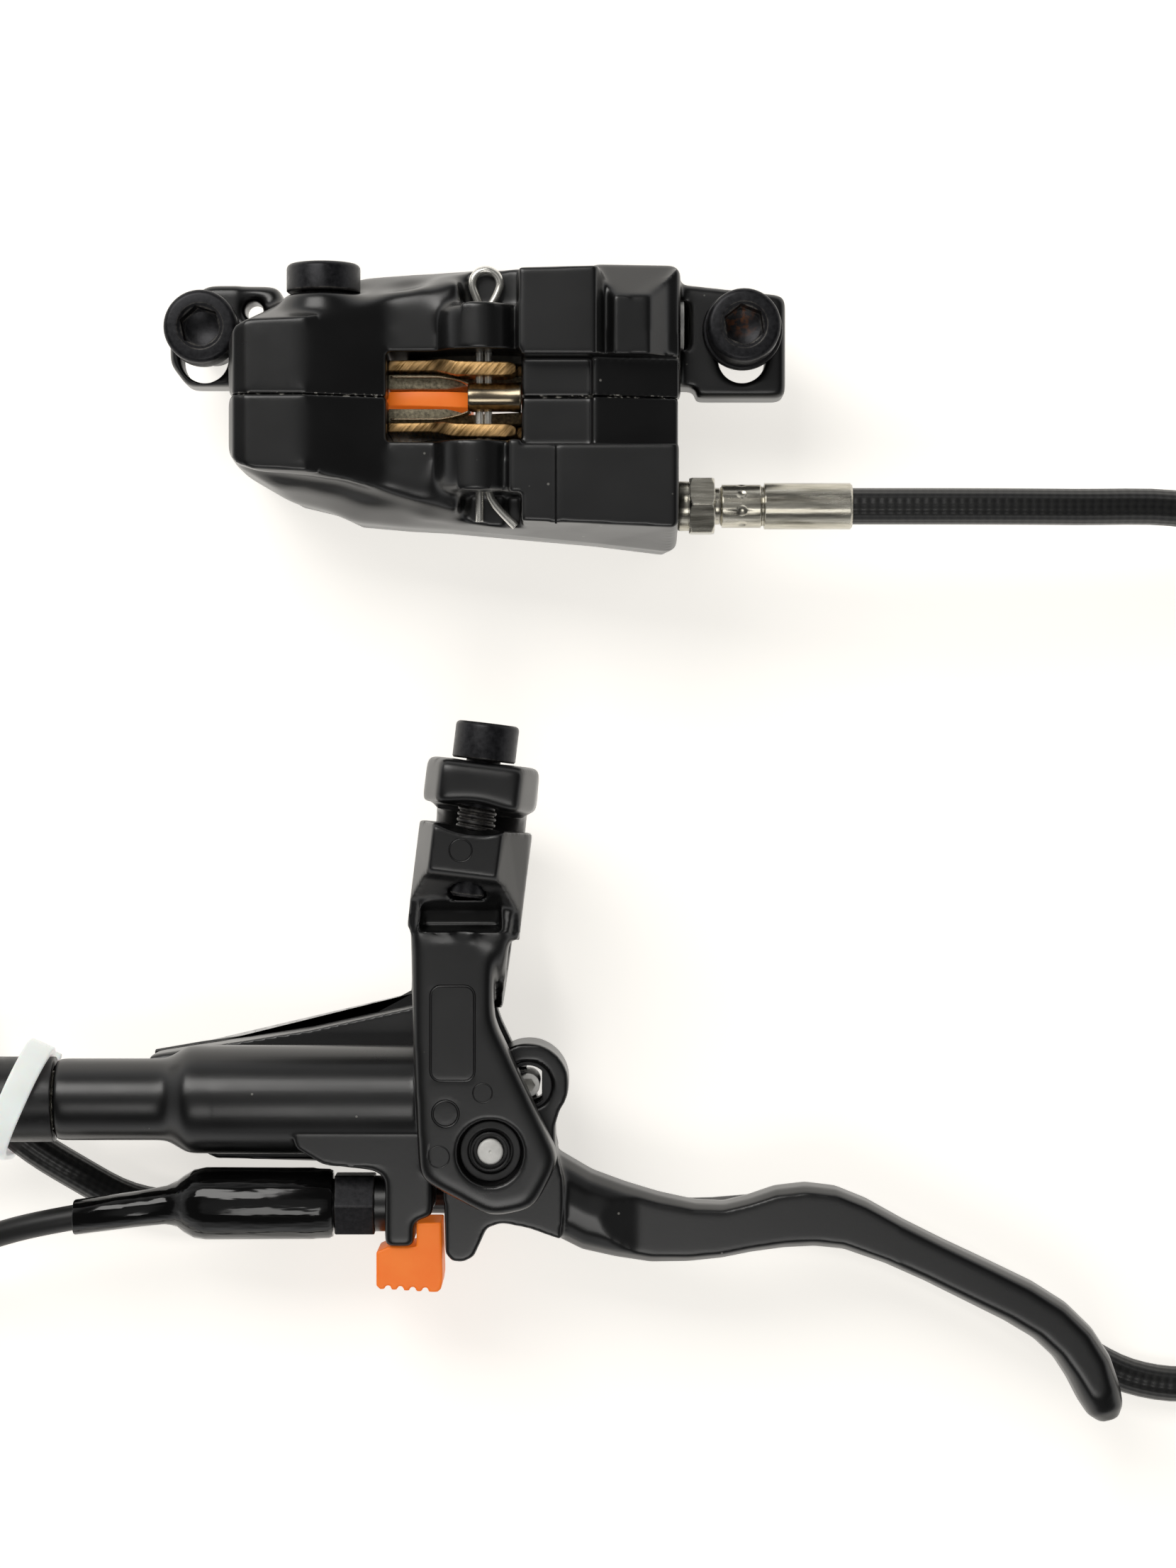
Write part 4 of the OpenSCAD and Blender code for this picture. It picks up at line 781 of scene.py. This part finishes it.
# Split pin: round steel wire of 1.1 mm bent double. The eye stands above the
# upper boss, and one leg is bent aside below the lower one.
shiny = metal("drawn bright steel", "#c9c7c0", "#efede6", 0.2, 0.75, 900.0, 0.25, stretch=(1, 0.2, 1))
EYE = [(-0.5, 12.0), (-0.62, 12.8), (-1.0, 13.8), (-1.42, 15), (-1.35, 16.1), (-0.75, 16.95), (0.25, 17.3),
    (1.3, 17.05), (2.05, 16.3), (2.25, 15.2), (1.85, 14), (1.25, 12.9), (0.75, 12)]
STRAIGHT = [(-0.5, -16.8), (-0.5, -12), (-0.5, -6), (-0.5, 0), (-0.5, 6), (-0.5, 10)]
BENT = [(0.7, 10), (0.7, 6), (0.7, 0), (0.7, -6), (0.7, -11), (0.85, -13), (1.5, -14.3), (2.7, -15.7), (4.4, -17.4)]
PIN_LEVEL = 27.8
PIN_WIRE = 0.0011
from_pivot = Vector((CALIPER[0], CALIPER[1], PIN_LEVEL)) - LEVER
pin_route = smooth_route([Vector((x, y, 0)) + from_pivot for x, y in STRAIGHT + EYE + BENT], 5)
wire = laid_tube("wire", pin_route, PIN_WIRE / 2, 16)
settle("split_pin", [wire], "brake", shiny, ["pad_pin"], 60)

# Hose end at the caliper: a zinc plated union nut, and a ferrule with a ring of
# crimp dents before its plain sleeve.
# The zinc's rims are painted near white: painted highlight along with wear.
zinc = metal("zinc plating with streaks", "#8f8b7e", "#dbd7ca", 0.24, 1.0, 500.0, 0.5,
    stretch=(0.25, 2.4, 2.4), edge="#f0ede4", wear_and_highlight=0.5)
PORT_Y, PORT_Z = 46.6, 24
ALONG = (1, 0, 0)
stub = [(0, 0), (2.9, 0), (2.9, 6.4), (3.3, 6.5), (3.4, 6.7), (3.4, 7.9), (3.2, 8), (2.5, 8), (2.5, 12.1), (0, 12.1)]
union = lathe("union", stub, (13.5, PORT_Y, PORT_Z), ALONG)
nut = rod((21.5, PORT_Y, PORT_Z), (24.9, PORT_Y, PORT_Z), 4.3, (0, 0, 0), 6)
chamfer = [(0, -0.2), (3.55, -0.2), (4.4, 0.45), (4.4, 2.95), (3.55, 3.6), (0, 3.6)]
cone = lathe("cone", chamfer, (21.5, PORT_Y, PORT_Z), ALONG)
finish_with(nut, "BOOLEAN", object=cone, operation="INTERSECT", solver="EXACT")
bpy.data.objects.remove(cone)
settle("union_nut", [union, nut], "brake", zinc, ["hose_connector"])
tube = [(0, 0), (2.55, 0), (2.75, 0.2), (2.95, 0.25), (2.95, 5.5), (2.7, 5.7), (2.72, 5.9),
    (3.15, 6.05), (3.15, 17.75), (2.9, 18), (2.5, 18), (2.5, 16), (0, 16)]
sleeve = lathe("sleeve", tube, (25.7, PORT_Y, PORT_Z), ALONG, 96)
CRIMPS = 8
CRIMP_CIRCLE = 4.35
dents = []
for k in range(CRIMPS):
    a = 2 * math.pi * (k + 0.35) / CRIMPS
    middle = (28.6, PORT_Y + CRIMP_CIRCLE * math.cos(a), PORT_Z + CRIMP_CIRCLE * math.sin(a))
    dents.append(egg(middle, (1.5, 1.62, 1.62), 0, (0, 0, 0)))
carve(sleeve, (), dents)
settle("crimped_ferrule", [sleeve], "brake", zinc, ["hose_ferrule"])

# Switch boot: glossy black shrink tube over the sensor, drawn in over the cable
# with a few soft wrinkles.
gloss = bpy.data.materials.new("glossy black shrink tube")
gloss.use_nodes = True
tree = gloss.node_tree
skin = tree.nodes["Principled BSDF"]
place = add(tree, "TexCoord")
way = add(tree, "Mapping", {"Vector": (place, "Object"), "Scale": (0.35, 1.6, 1.6)})
wrinkle = add(tree, "TexNoise", {"Vector": (way, 0), "Scale": 420.0, "Detail": 2.0})
skin.inputs["Base Color"].default_value = colour("#070707")
skin.inputs["Roughness"].default_value = 0.1
dent = add(tree, "Bump", {"Height": (wrinkle, 0), "Strength": 0.3, "Distance": 0.0004})
tree.links.new(dent.outputs[0], skin.inputs["Normal"])
# The tube's stations: x, radius, and how far the axis has sunk towards the cable.
STOPS = [(-21.9, 3.5, 0), (-22, 4.55, 0), (-22.5, 4.8, 0), (-24.2, 4.85, 0), (-24.8, 4.95, 0), (-39.6, 5, 0), (-41.2, 4.75, 0),
    (-42.6, 4.0, 0), (-43.6, 3.2, -0.05), (-45, 2.72, -0.22), (-47.4, 2.55, -0.55), (-50, 2.5, -0.9), (-57.7, 2.45, -1.92),
    (-57.9, 2.3, -1.94), (-57.9, 1.8, -1.94)]
ROUND = 48
FOLDS = 5
SENSOR_Y, SENSOR_Z = -49.3, 17
points, faces = [], []
for i, (x, radius, sunk) in enumerate(STOPS):
    fold_depth = 0.03 if -56 < x < -41 else 0.0075
    for k in range(ROUND):
        a = 2 * math.pi * k / ROUND
        out = radius * (1 - fold_depth * max(0, math.sin(FOLDS * a + x)))
        points.append((x + LEVER.x, SENSOR_Y + sunk + out * math.cos(a), SENSOR_Z + out * math.sin(a)))
    if i:
        here, before = ROUND * i, ROUND * (i - 1)
        faces += [(before + k, before + (k + 1) % ROUND, here + (k + 1) % ROUND, here + k) for k in range(ROUND)]
faces += [tuple(range(ROUND)), tuple(range(len(points) - ROUND, len(points)))]
boot = shell("boot", points, faces)
settle("shrink_tube", [boot], "brake", gloss, ["switch_boot"], 40)

# Transport block on the lever: moulded in the same orange plastic, with ridges
# below. It keeps the lever from being pulled until the brake is fitted.
chock = cast("transport_block", "lever_block", 0.00016, 5, 40000)
chock.data.materials.append(orange)

# Pivot pin: steel with a ground face and a small centre mark. It turns in two
# black plastic bushes, which keep their CAD shape.
turned = metal("turned steel pin", "#e6e5e0", "#fbfaf6", 0.42, 0.15, 900.0, 0.5)
PIN_LOW, PIN_LENGTH = 5.2, 24
pin_end = (LEVER.x, LEVER.y, PIN_LOW + PIN_LENGTH)
mark = lathe("mark", [(0, -0.3), (0.22, 0.05), (0.22, 0.3), (0, 0.3)], pin_end, (0, 0, 1), 24)
outline = [(0, 0), (1.55, 0), (1.75, 0.2), (1.75, 23.75), (1.62, 23.95), (1.5, PIN_LENGTH), (0, PIN_LENGTH)]
pivot = lathe("pivot", outline, (LEVER.x, LEVER.y, PIN_LOW), (0, 0, 1))
carve(pivot, (), (mark,))
settle("pivot_rod", [pivot], "brake", turned, ["pivot_pin"])


# Small pieces that keep their CAD shape: covers, seals, bushes, pistons, fittings
# and the tie, moulded or turned in their own materials. Those in sight have
# their edges broken.
def soften(name, width):
    """Rounds the edges of a small CAD node with modifiers alone."""
    obj = frame["nodes"][name]
    obj.data.polygons.foreach_set("use_smooth", [True] * len(obj.data.polygons))
    weld = obj.modifiers.new("weld", "WELD")
    weld.merge_threshold = 0.000004
    flat = obj.modifiers.new("flat", "DECIMATE")
    flat.decimate_type = "DISSOLVE"
    flat.angle_limit = math.radians(0.6)
    bevel = obj.modifiers.new("round", "BEVEL")
    bevel.width = width
    bevel.segments = 2
    bevel.limit_method = "ANGLE"
    bevel.angle_limit = math.radians(28)
    bevel.miter_outer = "MITER_ARC"
    bevel.harden_normals = True
    weigh = obj.modifiers.new("weigh", "WEIGHTED_NORMAL")
    weigh.keep_sharp = True


def dress(name, material):
    """Gives a CAD node its material."""
    mesh = frame["nodes"][name].data
    mesh.materials.clear()
    mesh.materials.append(material)


for name in ("reservoir_cover", "sensor_collar"):
    dress(name, paint)
rubber = metal("black rubber", "#0b0b0b", "#131313", 0.45, 0.0, 900.0, 0.2)
plastic = metal("black nylon", "#0c0c0d", "#151516", 0.36, 0.0, 900.0, 0.2)
nylon = metal("white nylon", "#e4e3dd", "#f4f3ee", 0.3, 0.0, 300.0, 0.2)
# Painted glow: an emission in its own colour makes the tie glow a little, standing in for light of the table coming
# through it.
skin = nylon.node_tree.nodes["Principled BSDF"]
skin.inputs["Subsurface Weight"].default_value = 0.4
skin.inputs["Subsurface Scale"].default_value = 0.004
skin.inputs["Emission Color"].default_value = colour("#eef1f1")
skin.inputs["Emission Strength"].default_value = 0.36
resin = metal("grey piston resin", "#77756f", "#8c8a83", 0.5, 0.0, 900.0, 0.3)
looks = {"black_oxide_steel": oxide, "polished_steel": turned, "zinc_plated_steel": zinc, "brass": brass,
    "black_rubber": rubber, "black_bushing_plastic": plastic, "white_nylon": nylon, "piston_resin": resin}
for part in frame["record"]["subparts"]:
    if part["material_slot"] in looks:
        dress(part["node"], looks[part["material_slot"]])
for name in ("mount_washer", "switch_sensor", "hose_cover", "reservoir_cover", "hose_tie"):
    soften(name, 0.0003)
